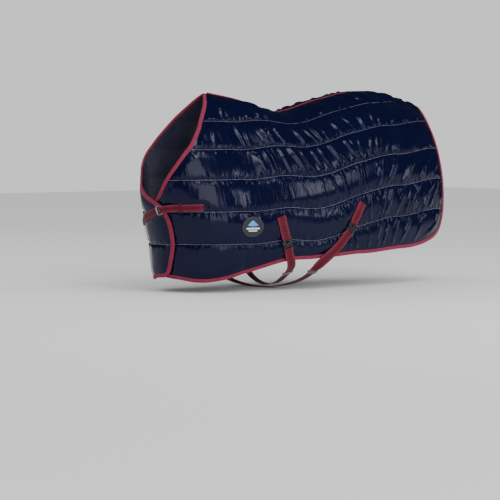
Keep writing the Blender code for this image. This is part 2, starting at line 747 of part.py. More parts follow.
chest_ps = [-0.205 - 0.0125 * i for i in range(38)]
chest_normals = [facing(round(p, 6), round(chest_q(p), 6)) for p in chest_ps]
chest = Track([chest_spot(p) for p in chest_ps], chest_normals, 2)
buckle_s = chest.reach[2 * 15 + 1]
heel = chest.frame(buckle_s)
lanes = [-CHEST_HALF, -0.0034, 0.0034, CHEST_HALF]
HEEL_Z, SPAN = BAR_LIFT, 0.026

# near side webbing, folded round the buckle's heel bar with a slot for the prong
low_end = buckle_s - 0.016
steps = [low_end * k / 14 for k in range(15)]
rows = turned([chest.row(s, PLY_LOW, lanes) for s in steps])
slot_from = len(rows) - 1
rows += loop_rows(heel, 0.0, HEEL_Z, 0.0035, -math.pi * 0.60, math.pi * 0.60, 8, lanes)
slot_to = len(rows)
rows += [chest.row(s, PLY_HIGH, lanes) for s in steps[:3:-1]]
ribbon("chest_chape", "webbing", rows, [(i, 1) for i in range(slot_from, slot_to)])

# off side webbing: from its seam, under the roller, over the heel bar and back along the chape
tip = [chest.row(s, PLY_HIGH + WEBBING + 0.0004, lanes) for s in steps[5:14]]
rows = list(tip)
rise = [(-0.0195, -0.0015), (-0.0150, 0.0028), (-0.0105, 0.0058), (-0.0060, 0.0066), (0.0, 0.0068),
        (0.0035, 0.0065), (0.0080, 0.0052), (0.0135, 0.0016), (0.0180, -0.0018), (0.0220, -0.0040),
        (0.0262, -0.0052), (0.0320, -0.0060)]
for (y0, z0), (y1, z1), (y2, z2) in zip([(-0.03, -0.006)] + rise, rise, rise[1:] + [(0.04, -0.0061)]):
    rows.append(local_row(heel, y1, HEEL_Z + z1, math.atan2(-(z2 - z0), y2 - y0), lanes))
hole_from = len(tip) + 4
reach_end = chest.length
past = buckle_s + 0.042
rows += [chest.row(past + (reach_end - past) * k / 7, 0.0012, lanes) for k in range(8)]
ribbon("chest_billet", "webbing", rows, [(hole_from, 1), (hole_from + 1, 1), (hole_from + 2, 1), (2, 1)])


def wire(name, slot, middles, radius, sides, closed, matrix):
    rings = []
    count = len(middles)
    for i, here in enumerate(middles):
        before = middles[i - 1] if closed or i else here * 2 - middles[1]
        after = middles[(i + 1) % count] if closed or i < count - 1 else here * 2 - middles[-2]
        ahead = (after - before).normalized()
        up = Vector((0, 0, 1)) if closed else Vector((1, 0, 0))
        side = ahead.cross(up).normalized()
        up = side.cross(ahead)
        rings.append([
            matrix @ (here + (side * math.cos(t) + up * math.sin(t)) * radius)
            for t in (2 * math.pi * k / sides for k in range(sides))
        ])
    return tube(name, slot, rings, closed)


wide = CHEST_HALF + 0.0042
corner = 0.005
middles = []
for cx, cy, start in ((wide - corner, corner, -90), (wide - corner, SPAN - corner, 0),
                      (-wide + corner, SPAN - corner, 90), (-wide + corner, corner, 180)):
    for step in range(4):
        turn = math.radians(start + 30 * step)
        middles.append(Vector((cx + corner * math.cos(turn), cy + corner * math.sin(turn), HEEL_Z)))
wire("chest_buckle_frame", "metal", middles, 0.0020, 10, True, heel)

bar = heel @ Matrix.Translation((0, SPAN, HEEL_Z)) @ Matrix.Rotation(math.pi / 2, 4, "Y")
rings = []
for radius, z in ((0.00235, -0.0145), (0.0034, -0.0145), (0.0034, 0.0145), (0.00235, 0.0145)):
    rings.append([bar @ Vector((radius * math.cos(t), radius * math.sin(t), z))
                  for t in (2 * math.pi * k / 16 for k in range(16))])
tube("chest_buckle_roller", "metal", rings, closed=True)

middles = []
for i in range(9):
    turn = math.radians(-70 - 200 * i / 8)
    middles.append(Vector((0, 0.0036 * math.cos(turn), HEEL_Z + 0.0036 * math.sin(turn))))
middles += [Vector((0, 0.010, HEEL_Z + 0.0039)), Vector((0, 0.020, HEEL_Z + 0.0045)),
            Vector((0, SPAN + 0.0005, HEEL_Z + 0.0049)), Vector((0, SPAN + 0.0042, HEEL_Z + 0.0044))]
wire("chest_buckle_prong", "metal", middles, 0.00125, 8, False, heel)

# a sewn loop that holds the free end down
hold = low_end * 0.58
hold_frame = chest.frame(hold)
tall = PLY_HIGH + WEBBING + 0.0004 + WEBBING / 2 + 0.0013
foot = CHEST_HALF + 0.0016
loop = [(-foot - 0.007, 0.0010, 0), (-foot - 0.0014, 0.0011, -0.5), (-foot - 0.0006, 0.0024, -1.35),
        (-foot + 0.0002, tall - 0.0014, -1.1), (-foot + 0.0014, tall, -0.3), (0, tall + 0.0003, 0),
        (foot - 0.0014, tall, 0.3), (foot - 0.0002, tall - 0.0014, 1.1), (foot + 0.0006, 0.0024, 1.35),
        (foot + 0.0014, 0.0011, 0.5), (foot + 0.007, 0.0010, 0)]
rows = []
for x, z, tilt in loop:
    normal = (hold_frame.to_3x3() @ Vector((math.sin(tilt), 0, math.cos(tilt)))).normalized()
    rows.append([(hold_frame @ Vector((x, y, z)), normal) for y in (-0.006, 0.006)])
ribbon("chest_keeper", "webbing", rows, split_ply=0.0011)

# ---- badge on the near shoulder ----
BADGE_P, BADGE_Q, BADGE_LONG, BADGE_TALL = 0.024, 0.681, 0.058, 0.045
centre = place(BADGE_P, BADGE_Q, 0.0, -1)
along = (place(BADGE_P + 0.01, BADGE_Q, 0.0, -1) - centre).normalized()
down = (place(BADGE_P, BADGE_Q + 0.01, 0.0, -1) - centre).normalized()
low, high = [], []
for reach in (1.0, 0.55):
    for k in range(24):
        turn = 2 * math.pi * k / 24
        move = along * (BADGE_LONG * reach * math.cos(turn)) + down * (BADGE_TALL * reach * math.sin(turn))
        p, q = shifted(BADGE_P, BADGE_Q, move)
        low.append(place(p, q, REST + 0.0013, -1))
        high.append(place(p, q, REST + 0.0029, -1))
low.append(place(BADGE_P, BADGE_Q, REST + 0.0013, -1))
high.append(place(BADGE_P, BADGE_Q, REST + 0.0029, -1))
size = len(low)
faces = []
for k in range(24):
    a, b = k, (k + 1) % 24
    faces += [(a, b, 24 + b, 24 + a)[::-1], (24 + a, 24 + b, 48)[::-1], (a, b, size + b, size + a)]
    faces += [(size + a, size + b, size + 24 + b, size + 24 + a), (size + 24 + a, size + 24 + b, size + 48)]
solid("shoulder_badge", "badge", low + high, faces)

# the origin is the lowest rest on the back, under the seam tape
for item in bpy.data.objects:
    for vertex in item.data.vertices:
        vertex.co.z += 0.0029
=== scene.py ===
import math

import bmesh
import bpy
import numpy as np
from mathutils import Matrix, Vector
from mathutils.geometry import delaunay_2d_cdt


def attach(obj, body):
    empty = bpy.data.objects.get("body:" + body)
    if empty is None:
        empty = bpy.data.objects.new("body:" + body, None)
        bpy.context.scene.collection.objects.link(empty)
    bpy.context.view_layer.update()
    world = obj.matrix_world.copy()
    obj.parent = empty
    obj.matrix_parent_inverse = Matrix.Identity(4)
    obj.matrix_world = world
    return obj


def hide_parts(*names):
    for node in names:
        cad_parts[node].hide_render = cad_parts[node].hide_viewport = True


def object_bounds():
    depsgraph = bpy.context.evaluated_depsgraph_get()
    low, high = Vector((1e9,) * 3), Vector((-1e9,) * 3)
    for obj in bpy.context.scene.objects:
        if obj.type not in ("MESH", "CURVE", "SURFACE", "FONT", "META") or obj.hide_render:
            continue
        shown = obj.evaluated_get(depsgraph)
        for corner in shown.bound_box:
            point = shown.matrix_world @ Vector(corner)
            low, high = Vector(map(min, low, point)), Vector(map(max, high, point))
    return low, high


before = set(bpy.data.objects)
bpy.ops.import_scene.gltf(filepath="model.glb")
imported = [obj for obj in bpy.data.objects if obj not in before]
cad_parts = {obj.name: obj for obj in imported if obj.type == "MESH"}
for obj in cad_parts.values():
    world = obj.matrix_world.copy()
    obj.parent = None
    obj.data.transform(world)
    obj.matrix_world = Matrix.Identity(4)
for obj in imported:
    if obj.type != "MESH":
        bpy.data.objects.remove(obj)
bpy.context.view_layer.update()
scene = bpy.context.scene
draw = np.random.default_rng(11)
grainTable = draw.random((128, 128))

# the horse's shape: p runs from the shoulder to the tail, q down the side from the spine
form = {"shoulder": -0.392, "fan": 0.46, "tail": 1.365, "gridStep": 0.006, "ribSteps": 240, "seat": 0.0029,
        "chestLift": 0.0155}
cloth = {"lining": 0.0012, "shell": 0.0012, "gap": 0.0003, "full": 0.0105, "seam": 0.0048, "edge": 0.0030}
quilt = {"first": 0.165, "pitch": 0.149, "lines": 5, "rise": 0.135, "riseFrom": 0.92, "riseTo": 1.36}
binding = {"width": 0.016, "cloth": 0.0008, "gap": 0.0003, "spacing": 0.007}
seamQ = 0.0005  # the panels stop this far from the spine
chestEnd, tailEnd = -0.56, 1.38  # p past both ends of a panel


def smoothStep(low, high, value):
    t = np.clip((value - low) / (high - low), 0, 1)
    return t * t * (3 - 2 * t)


def curve(*points):
    xs, ys = np.array(points).T
    slopes = np.diff(ys) / np.diff(xs)
    ends = np.concatenate([slopes[:1], (slopes[:-1] + slopes[1:]) / 2, slopes[-1:]])

    def value(x):
        i = np.clip(np.searchsorted(xs, x, side="right") - 1, 0, len(xs) - 2)
        h = xs[i + 1] - xs[i]
        t = (x - xs[i]) / h
        within = ((1 + 2 * t) * (1 - t) ** 2 * ys[i] + t * (1 - t) ** 2 * h * ends[i]
                  + t * t * (3 - 2 * t) * ys[i + 1] - t * t * (1 - t) * h * ends[i + 1])
        return np.where(t < 0, ys[0] + ends[0] * (x - xs[0]),
                        np.where(t > 1, ys[-1] + ends[-1] * (x - xs[-1]), within))

    return value


spineHeight = curve((-0.42, 0.092), (-0.20, 0.055), (0, 0), (0.28, 0.058), (0.55, 0.103), (0.97, 0.035))
halfWidth = curve((-0.392, 0.29), (-0.15, 0.325), (0.10, 0.337), (0.35, 0.337), (0.60, 0.32), (0.80, 0.285),
                  (0.97, 0.235))
bellyTuck = curve((-0.392, 0.055), (-0.1, 0.03), (0.3, 0.02), (0.97, 0.02))
chestReach = curve((-0.80, 0.245), (-0.62, 0.255), (-0.40, 0.31), (-0.27, 0.34), (-0.10, 0.36), (0.1, 0.36))


def ribAt(x):
    withers = 1 - smoothStep(-0.40, 0.05, x)
    power, root, depth = 2 - 0.5 * withers, 2 - 0.8 * withers, 0.42 + 0.18 * withers
    count = form["ribSteps"]
    bend = count * 2 // 3
    step = np.arange(count + 1)
    t = 1 - np.cos(np.minimum(step, bend) / bend * math.pi / 2)
    fall = np.where(step <= bend, depth * t, depth + (step - bend) / (count - bend) * (1 - depth))
    y = halfWidth(x) * (1 - (1 - t) ** power) ** (1 / root)
    y = y - bellyTuck(x) * np.maximum(0, (fall - 0.42) / 0.45) ** 2
    z = spineHeight(x) - fall
    return np.concatenate([[0], np.cumsum(np.hypot(np.diff(y), np.diff(z)))]), y, z


# the surface as a grid, read back between its points
gridP = np.arange(-126, 238) * form["gridStep"]
gridQ = np.arange(0, 168) * form["gridStep"]
gridSpot = np.zeros((len(gridP), len(gridQ), 3))
for column, p in enumerate(gridP):
    arc, y, z = ribAt(form["shoulder"] + max(p, 0))
    y, z = np.interp(gridQ, arc, y), np.interp(gridQ, arc, z)
    turn = math.pi / 2 * (1 + min(p, 0) / form["fan"])
    x = form["shoulder"] + (p if p >= 0 else 0) - chestReach(z) * math.cos(turn) * (p < 0)
    gridSpot[column] = np.stack([x + 0 * z, -y * math.sin(turn), z], 1)
gridAlong, gridDown = np.gradient(gridSpot, form["gridStep"], axis=(0, 1))
gridNormal = np.cross(gridDown, gridAlong)
gridNormal /= np.linalg.norm(gridNormal, axis=2, keepdims=True)
ridge = np.stack([gridNormal[..., 0], 0 * gridNormal[..., 0], np.maximum(gridNormal[..., 2], 0.3)], 2)
ridge /= np.linalg.norm(ridge, axis=2, keepdims=True)
share = ((1 - smoothStep(0.0, 0.09, gridQ))[None, :] * (gridP > -0.2)[:, None])[..., None]
gridNormal = gridNormal * (1 - share) + ridge * share
gridNormal /= np.linalg.norm(gridNormal, axis=2, keepdims=True)


def onGrid(grid, p, q):
    u = np.clip((p - gridP[0]) / form["gridStep"], 0, len(gridP) - 1.001)
    v = np.clip(q / form["gridStep"], 0, len(gridQ) - 1.001)
    i, j = u.astype(int), v.astype(int)
    a, b = (u - i)[:, None], (v - j)[:, None]
    near = grid[i, j] * (1 - a) + grid[i + 1, j] * a
    far = grid[i, j + 1] * (1 - a) + grid[i + 1, j + 1] * a
    return near * (1 - b) + far * b


def facing(p, q, side=-1):
    normal = onGrid(gridNormal, p, q)
    normal /= np.linalg.norm(normal, axis=1, keepdims=True)
    return normal * [1, -side, 1]


def lift(p, side):
    # the off side's chest lies over the near side's
    return form["chestLift"] * smoothStep(-0.32, -0.395, p) * (p < 0) * (side > 0)


def place(p, q, height, side):
    p, q, height = np.broadcast_arrays(np.atleast_1d(np.asarray(p, float)), q, height)
    spot = onGrid(gridSpot, p, q) * [1, -side, 1] + facing(p, q, side) * (height + lift(p, side))[:, None]
    spot[:, 2] += form["seat"]
    return spot


def shifted(p, q, move):
    # the place that is `move` away along the surface, on the near side's shape
    target = onGrid(gridSpot, p, q) + move
    for _ in range(3):
        off = target - onGrid(gridSpot, p, q)
        dp, dq = onGrid(gridAlong, p, q), onGrid(gridDown, p, q)
        a, b, c = (dp * dp).sum(1), (dp * dq).sum(1), (dq * dq).sum(1)
        d, e = (dp * off).sum(1), (dq * off).sum(1)
        p, q = p + (c * d - b * e) / (a * c - b * b), np.maximum(0, q + (a * e - b * d) / (a * c - b * b))
    return p, q


def grain(u, v):
    # smooth value noise, 0 to 1
    i, j = np.floor(u).astype(int), np.floor(v).astype(int)
    a, b = u - i, v - j
    a, b = a * a * (3 - 2 * a), b * b * (3 - 2 * b)
    at = lambda x, y: grainTable[x % 128, y % 128]
    near = at(i, j) * (1 - a) + at(i + 1, j) * a
    far = at(i, j + 1) * (1 - a) + at(i + 1, j + 1) * a
    return near * (1 - b) + far * b


def flow(points, gap):
    # a smooth line through points, every `gap`, and where each point landed
    points = np.array(points, float)
    padded = np.vstack([2 * points[0] - points[1], points, 2 * points[-1] - points[-2]])
    line, marks = [], []
    for i in range(1, len(padded) - 2):
        a, b, c, d = padded[i - 1:i + 3]
        count = max(1, round(np.linalg.norm(c - b) / gap))
        marks.append(len(line))
        for t in np.arange(count) / count:
            line.append(0.5 * (2 * b + (c - a) * t + (2 * a - 5 * b + 4 * c - d) * t * t
                               + (3 * b - a - 3 * c + d) * t ** 3))
    marks.append(len(line))
    return np.array(line + [points[-1]]), marks


# the cut edge of one side, tail to hem to front to neck
tailEdge = [(form["tail"], 0.0), (1.318, 0.055), (1.285, 0.135), (1.272, 0.22), (1.275, 0.31), (1.281, 0.40),
            (1.289, 0.48), (1.295, 0.56), (1.292, 0.635), (1.277, 0.70), (1.248, 0.757), (1.206, 0.803)]
hemEdge = [(1.146, 0.845), (1.075, 0.882), (0.995, 0.908), (0.90, 0.918), (0.80, 0.914), (0.70, 0.900),
           (0.60, 0.880), (0.50, 0.858), (0.41, 0.845), (0.32, 0.848), (0.24, 0.857), (0.155, 0.868),
           (0.075, 0.882), (0.0, 0.901), (-0.07, 0.918), (-0.14, 0.931), (-0.21, 0.938), (-0.28, 0.936),
           (-0.35, 0.927)]
frontEdge = {
    -1: [(-0.43, 0.920), (-0.485, 0.912), (-0.508, 0.885), (-0.510, 0.82), (-0.510, 0.745), (-0.510, 0.68)],
    1: [(-0.43, 0.920), (-0.482, 0.915), (-0.512, 0.893), (-0.530, 0.834), (-0.548, 0.76), (-0.550, 0.69)],
}
neckEdge = {
    -1: [(-0.508, 0.635), (-0.492, 0.598), (-0.455, 0.562), (-0.412, 0.524)],
    1: [(-0.543, 0.635), (-0.520, 0.585), (-0.475, 0.556), (-0.418, 0.526)],
}
neckRest = [(-0.368, 0.472), (-0.326, 0.428), (-0.29, 0.392), (-0.256, 0.357), (-0.225, 0.325),
            (-0.192, 0.291), (-0.160, 0.248), (-0.127, 0.198), (-0.098, 0.145), (-0.070, 0.098),
            (-0.045, 0.052), (-0.02, 0.0)]


def cutEdge(side, gap):
    parts = {"tail": tailEdge, "hem": hemEdge, "front": frontEdge[side], "neck": neckEdge[side] + neckRest}
    line, marks = flow(sum(parts.values(), []), gap)
    line[:, 1] = np.maximum(line[:, 1], seamQ)
    spans, start = {}, 0
    for name, part in parts.items():
        stop = min(start + len(part), len(marks) - 1)
        spans[name] = (marks[start], marks[stop])
        start += len(part)
    return line, spans


def nearest(line, p, q):
    best = np.full(len(p), 9.0)
    for k in range(0, len(p), 4000):
        gaps = (p[k:k + 4000, None] - line[None, :, 0]) ** 2 + (q[k:k + 4000, None] - line[None, :, 1]) ** 2
        best[k:k + 4000] = np.sqrt(gaps.min(1))
    return best


def within(line, p, q):
    hit = np.zeros(len(p), bool)
    for (a, b), (c, d) in zip(line, np.roll(line, -1, 0)):
        if b != d:
            hit ^= ((b > q) != (d > q)) & (p < (c - a) * (q - b) / (d - b) + a)
    return hit


def quiltLine(number, p):
    rise = quilt["rise"] * smoothStep(quilt["riseFrom"], quilt["riseTo"], p)
    return quilt["first"] + quilt["pitch"] * number - rise


def seamGap(p, q):
    gaps = [np.abs(q - quiltLine(k, p)) for k in range(quilt["lines"])]
    gaps.append(np.where(p > -0.02, q, 9.0))
    return np.min(gaps, 0)


def laidHeight(p, q, edgeGap):
    # height of the shell's outer face where nothing puffs it
    edge = smoothStep(0.004, 0.055, edgeGap)
    full = cloth["seam"] + (cloth["full"] - cloth["seam"]) * smoothStep(0.0, quilt["pitch"] / 2, seamGap(p, q))
    full = np.minimum(full, cloth["full"] - 0.003 * smoothStep(-0.36, -0.42, p))
    base = cloth["lining"] + cloth["shell"] + 2 * cloth["gap"]
    height = base + cloth["edge"] + (full - cloth["edge"]) * edge
    rise = np.clip(q / 0.016, 0, 1)
    return base + cloth["edge"] + (height - base - cloth["edge"]) * rise


# straps follow tracks laid over the cloth
def spline(points, steps):
    padded = [points[0] * 2 - points[1], *points, points[-1] * 2 - points[-2]]
    result = []
    for i in range(1, len(padded) - 2):
        a, b, c, d = padded[i - 1:i + 3]
        for k in range(steps):
            t = k / steps
            result.append(0.5 * ((2 * b) + (c - a) * t + (2 * a - 5 * b + 4 * c - d) * t * t
                                 + (3 * b - a - 3 * c + d) * t ** 3))
    return result + [points[-1]]


class Track:
    # a path over the rug: its middle, normal and sideways direction at any length along it
    def __init__(self, spots, normals, steps=8):
        self.spots, self.normals = spline(spots, steps), spline(normals, steps)
        self.reach = [0.0]
        for a, b in zip(self.spots, self.spots[1:]):
            self.reach.append(self.reach[-1] + (b - a).length)
        self.length = self.reach[-1]

    def at(self, s):
        i = int(np.clip(np.searchsorted(self.reach, s, side="right") - 1, 0, len(self.spots) - 2))
        t = (s - self.reach[i]) / (self.reach[i + 1] - self.reach[i])
        spot = self.spots[i].lerp(self.spots[i + 1], t)
        before, after = self.spots[max(i - 1, 0)], self.spots[min(i + 2, len(self.spots) - 1)]
        ahead = (after - before).normalized()
        normal = self.normals[i].lerp(self.normals[i + 1], min(1.0, max(0.0, t)))
        normal = (normal - ahead * normal.dot(ahead)).normalized()
        return spot, ahead, normal, ahead.cross(normal)

    def frame(self, s):
        spot, ahead, normal, side = self.at(s)
        return Matrix.Translation(spot) @ Matrix((side, ahead, normal)).transposed().to_4x4()

    def row(self, s, height, offsets):
        spot, ahead, normal, side = self.at(s)
        return [(spot + normal * height + side * off, normal) for off in offsets]


def localRow(base, y, z, tilt, offsets):
    normal = (base.to_3x3() @ Vector((0, math.sin(tilt), math.cos(tilt)))).normalized()
    return [(base @ Vector((off, y, z)), normal) for off in offsets]


def loopRows(base, y, z, radius, start, stop, count, offsets):
    rows = []
    for i in range(count + 1):
        turn = start + (stop - start) * i / count
        rows.append(localRow(base, y + radius * math.cos(turn), z + radius * math.sin(turn),
                             math.pi / 2 - turn, offsets))
    return rows


def turned(rows):
    # a ply that a loop brings round underneath
    return [[(spot, -normal) for spot, normal in row] for row in rows]


strap = {"width": 0.045, "thick": 0.0018, "low": 0.0011, "barHeight": 0.0057, "barFromEnd": 0.0457}
strap["high"] = strap["low"] + strap["thick"] + 2 * cloth["gap"]
strap["rest"] = cloth["lining"] + cloth["shell"] + 2 * cloth["gap"] + cloth["full"] + 0.0006
surcingles = {
    "front": {"near": [(0.172, 0.648), (0.190, 0.705), (0.206, 0.760), (0.221, 0.815), (0.240, 0.882)],
              "off": [(0.500, 0.880), (0.545, 0.820), (0.590, 0.755), (0.630, 0.690)],
              "chape": 0.112, "drop": 0.0, "folded": 0.165},
    "rear": {"near": [(0.662, 0.652), (0.618, 0.715), (0.572, 0.768), (0.505, 0.816), (0.400, 0.872)],
             "off": [(0.262, 0.885), (0.238, 0.825), (0.214, 0.760), (0.190, 0.690)],
             "chape": 0.118, "drop": 0.011, "folded": 0.300},
}


def vectors(array):
    return [Vector(row) for row in array]


def surcingleTrack(shape):
    nearP, nearQ = np.array(shape["near"]).T
    offP, offQ = np.array(shape["off"]).T
    spots = vectors(place(nearP, nearQ, strap["rest"], -1))
    normals = vectors(facing(nearP, nearQ, -1))
    offSpots, offNormals = vectors(place(offP, offQ, strap["rest"], 1)), vectors(facing(offP, offQ, 1))
    lastNear = spots[-1]
    for t, z in ((0.13, -0.752), (0.30, -0.790), (0.5, -0.804), (0.70, -0.790), (0.87, -0.752)):
        spot = lastNear.lerp(offSpots[0], t)
        spots.append(Vector((spot.x, spot.y, z - shape["drop"] + form["seat"])))
        normals.append(Vector((0, (t - 0.5) * 2.4, -1)).normalized())
    return Track(spots + offSpots, normals + offNormals)


tracks = {word: surcingleTrack(shape) for word, shape in surcingles.items()}

chest = {"half": 0.016, "barLift": 0.0072}


def chestQ(p):
    return 0.592 + 0.075 * smoothStep(-0.36, -0.66, p)


edges = {side: cutEdge(side, 0.004) for side in (-1, 1)}


def topUnder(side, p, q):
    # highest the laid cloth lies under the chest strap's width
    tops = []
    for v in (q - 0.017, q, q + 0.017):
        at = np.array([p]), np.array([v])
        tops.append(laidHeight(*at, nearest(edges[side][0], *at))[0])
    return max(tops)


def chestRest(p):
    q = chestQ(p)
    nearTop = topUnder(-1, p, q) if p > -0.37 else 0.0
    far = -2 * form["fan"] - min(p, -0.375)
    farTop = topUnder(1, far, q)
    farTop += float(lift(np.array([far]), 1)[0]) + binding["cloth"] + cloth["gap"]
    blend = float(smoothStep(-0.338, -0.372, p))
    return nearTop * (1 - blend) + farTop * blend + 0.0009


chestP = -0.205 - 0.0125 * np.arange(38)
chestSpots = place(chestP, chestQ(chestP), np.array([chestRest(p) for p in chestP]), -1)
chestTrack = Track(vectors(chestSpots), vectors(facing(chestP, chestQ(chestP))), 2)
heelAt = chestTrack.reach[2 * 15 + 1]
heel = chestTrack.frame(heelAt)
badge = {"p": 0.024, "q": 0.681, "long": 0.058, "tall": 0.045, "base": strap["rest"] + 0.0013,
         "thick": 0.0018}
print("surface and tracks laid out")


class Wire:
    # one value in a material, with arithmetic
    def __init__(self, finish, socket):
        self.finish, self.socket = finish, socket

    def maths(self, operation, first, second=0.0):
        return self.finish.node("ShaderNodeMath", {"operation": operation}, {0: first, 1: second})

    def __add__(self, other):
        return self.maths("ADD", self, other)

    def __sub__(self, other):
        return self.maths("SUBTRACT", self, other)

    def __rsub__(self, other):
        return self.maths("SUBTRACT", other, self)

    def __mul__(self, other):
        return self.maths("MULTIPLY", self, other)

    def __pow__(self, other):
        return self.maths("POWER", self, other)

    __radd__, __rmul__ = __add__, __mul__


class Finish:
    def __init__(self, name, plain):
        self.material = bpy.data.materials.new(name)
        self.material.use_nodes = True
        self.tree = self.material.node_tree
        self.shader = next(n for n in self.tree.nodes if n.type == "BSDF_PRINCIPLED")
        for key, value in plain.items():
            self.put(self.shader.inputs[key], value)

    def put(self, socket, value):
        if isinstance(value, Wire):
            self.tree.links.new(value.socket, socket)
        elif hasattr(value, "__len__") and len(value) == 3 and socket.type == "RGBA":
            socket.default_value = (*value, 1)
        else:
            socket.default_value = value

    def node(self, kind, settings=None, inputs=None, out=0):
        made = self.tree.nodes.new(kind)
        for key, value in (settings or {}).items():
            if key == "stops":
                while len(made.color_ramp.elements) < len(value):
                    made.color_ramp.elements.new(0.5)
                for stop, (where, colour) in zip(made.color_ramp.elements, value):
                    stop.position, stop.color = where, (*colour, 1)
            else:
                setattr(made, key, value)
        for key, value in (inputs or {}).items():
            self.put(made.inputs[key], value)
        return Wire(self, made.outputs[out])

    def noise(self, where, scale, detail=2.0, roughness=0.5, distortion=0.0):
        return self.node("ShaderNodeTexNoise", None, {"Vector": where, "Scale": scale, "Detail": detail,
                                                     "Roughness": roughness, "Distortion": distortion})

    def moved(self, where, scale=(1, 1, 1), turn=(0, 0, 0)):
        return self.node("ShaderNodeMapping", None, {"Vector": where, "Scale": scale, "Rotation": turn})

    def mix(self, factor, first, second):
        return self.node("ShaderNodeMix", {"data_type": "RGBA"}, {0: factor, 6: first, 7: second}, 2)

    def bump(self, height, strength, distance, under=None):
        inputs = {"Height": height, "Strength": strength, "Distance": distance}
        if under:
            inputs["Normal"] = under
        return self.node("ShaderNodeBump", None, inputs)

    def set(self, key, value):
        self.put(self.shader.inputs[key], value)

    def uv(self, name):
        return self.node("ShaderNodeUVMap", {"uv_map": name})

    def thing(self):
        return self.node("ShaderNodeTexCoord", None, None, 3)

    def value(self, name):
        return self.node("ShaderNodeAttribute", {"attribute_name": name}, None, 2)


def nylonFinish(name, low, high, rough, crease):
    finish = Finish(name, {"Specular IOR Level": 0.15, "Specular Tint": (0.78, 0.80, 1.0, 1),
                           "Coat Roughness": 0.12, "Coat Weight": 0.10})
    cut = finish.uv("cut")
    finish.set("Base Color", finish.mix(finish.noise(cut, 9.0, 4), low, high))
    drag = finish.noise(finish.moved(cut, (70, 7, 1)), 1.0, 2, 0.4, 0.3)
    sharp = 1 - finish.node("ShaderNodeMath", {"operation": "ABSOLUTE"}, {0: drag * 2 - 1.0})
    near = finish.value("pucker")
    thread, cross = (finish.node("ShaderNodeTexWave", {"wave_type": "BANDS", "bands_direction": way},
                                 {"Vector": cut, "Scale": 700.0}) for way in "XY")
    finish.set("Roughness", finish.noise(cut, 26.0, 3) * 0.06 + rough)
    soft = finish.bump(sharp ** 3, crease, 0.0030)
    gather = finish.noise(finish.moved(cut, (120, 10, 1)), 1.0, 2)
    tight = finish.bump(gather * near, 0.8, 0.0045, soft)
    finish.set("Normal", finish.bump(thread * cross, 0.08, 0.00012, tight))
    return finish.material


def ribbedFinish(name, dark, light, rough, ribScale, paintedEdgeHighlight=False):
    finish = Finish(name, {"Sheen Weight": 0.06, "Sheen Roughness": 0.5, "Sheen Tint": (1, 0.75, 0.75, 1),
                           "Specular IOR Level": 0.15})
    weave = finish.uv("weave")
    bands = finish.node("ShaderNodeTexWave", {"wave_type": "BANDS", "bands_direction": "X"},
                        {"Vector": weave, "Scale": ribScale, "Distortion": 0.6, "Detail": 1.0})
    cross = finish.node("ShaderNodeTexWave", {"wave_type": "BANDS", "bands_direction": "Y"},
                        {"Vector": weave, "Scale": ribScale * 1.7})
    worn = finish.noise(weave, 40.0, 4)
    colour = finish.mix(worn * 0.6 + bands * 0.35, dark, light)
    if paintedEdgeHighlight:
        # painted highlight: the webbing's colour is mixed towards a light red near each edge and at the edges
        # themselves, by the edge attribute, standing in for the light its edges catch
        edge = finish.value("edge")
        colour = finish.mix(edge * 0.70, colour, (0.36, 0.06, 0.10))
    finish.set("Base Color", colour)
    finish.set("Roughness", worn * 0.2 + rough)
    under = finish.bump(finish.noise(weave, 220.0, 2), 0.25, 0.0003)
    finish.set("Normal", finish.bump(bands + cross * 0.5, 0.7, 0.00035, under))
    return finish.material


def metalFinish(name, colour, rough, metallic):
    finish = Finish(name, {"Metallic": metallic})
    where = finish.thing()
    haze = finish.noise(where, 160.0, 4)
    scratch = finish.noise(finish.moved(where, (900, 90, 90)), 1.0, 2)
    finish.set("Base Color", finish.mix(haze, tuple(0.8 * c for c in colour), colour))
    finish.set("Roughness", haze * 0.14 + rough)
    finish.set("Normal", finish.bump(scratch + haze, 0.12, 0.0002))
    return finish.material


def threadFinish(name, dark, light):
    finish = Finish(name, {"Sheen Weight": 0.3})
    where = finish.thing()
    twist = finish.node("ShaderNodeTexWave", {"bands_direction": "DIAGONAL"}, {"Vector": where, "Scale": 500.0})
    finish.set("Base Color", finish.mix(finish.noise(where, 90.0), dark, light))
    finish.set("Roughness", twist * 0.1 + 0.5)
    finish.set("Normal", finish.bump(twist, 0.5, 0.0002))
    return finish.material


finishes = {
    "shell": nylonFinish("shellNylon", (0.0015, 0.0021, 0.014), (0.0026, 0.0036, 0.023), 0.15, 0.16),
    "lining": nylonFinish("liningNylon", (0.008, 0.010, 0.032), (0.013, 0.016, 0.046), 0.36, 0.20),
    "binding": ribbedFinish("bindingTape", (0.150, 0.009, 0.030), (0.270, 0.022, 0.058), 0.46, 330.0),
    "webbing": ribbedFinish("webbing", (0.055, 0.0012, 0.007), (0.100, 0.0030, 0.014), 0.48, 260.0, True),
    "metal": metalFinish("nickelPlate", (0.42, 0.41, 0.40), 0.22, 1.0),
    "blacked": metalFinish("blackedPlate", (0.060, 0.060, 0.062), 0.22, 1.0),
    "plastic": metalFinish("blackMoulding", (0.014, 0.014, 0.015), 0.32, 0.0),
    # the quilting thread is painted pale grey-blue, far lighter than the navy shell: a painted highlight for
    # the light the stitches and the fold beside them catch
    "paintedHighlightThread": threadFinish("paintedHighlightThread", (0.24, 0.25, 0.38), (0.42, 0.43, 0.56)),
    "redThread": threadFinish("redThread", (0.22, 0.015, 0.03), (0.36, 0.04, 0.06)),
}
print("materials made")


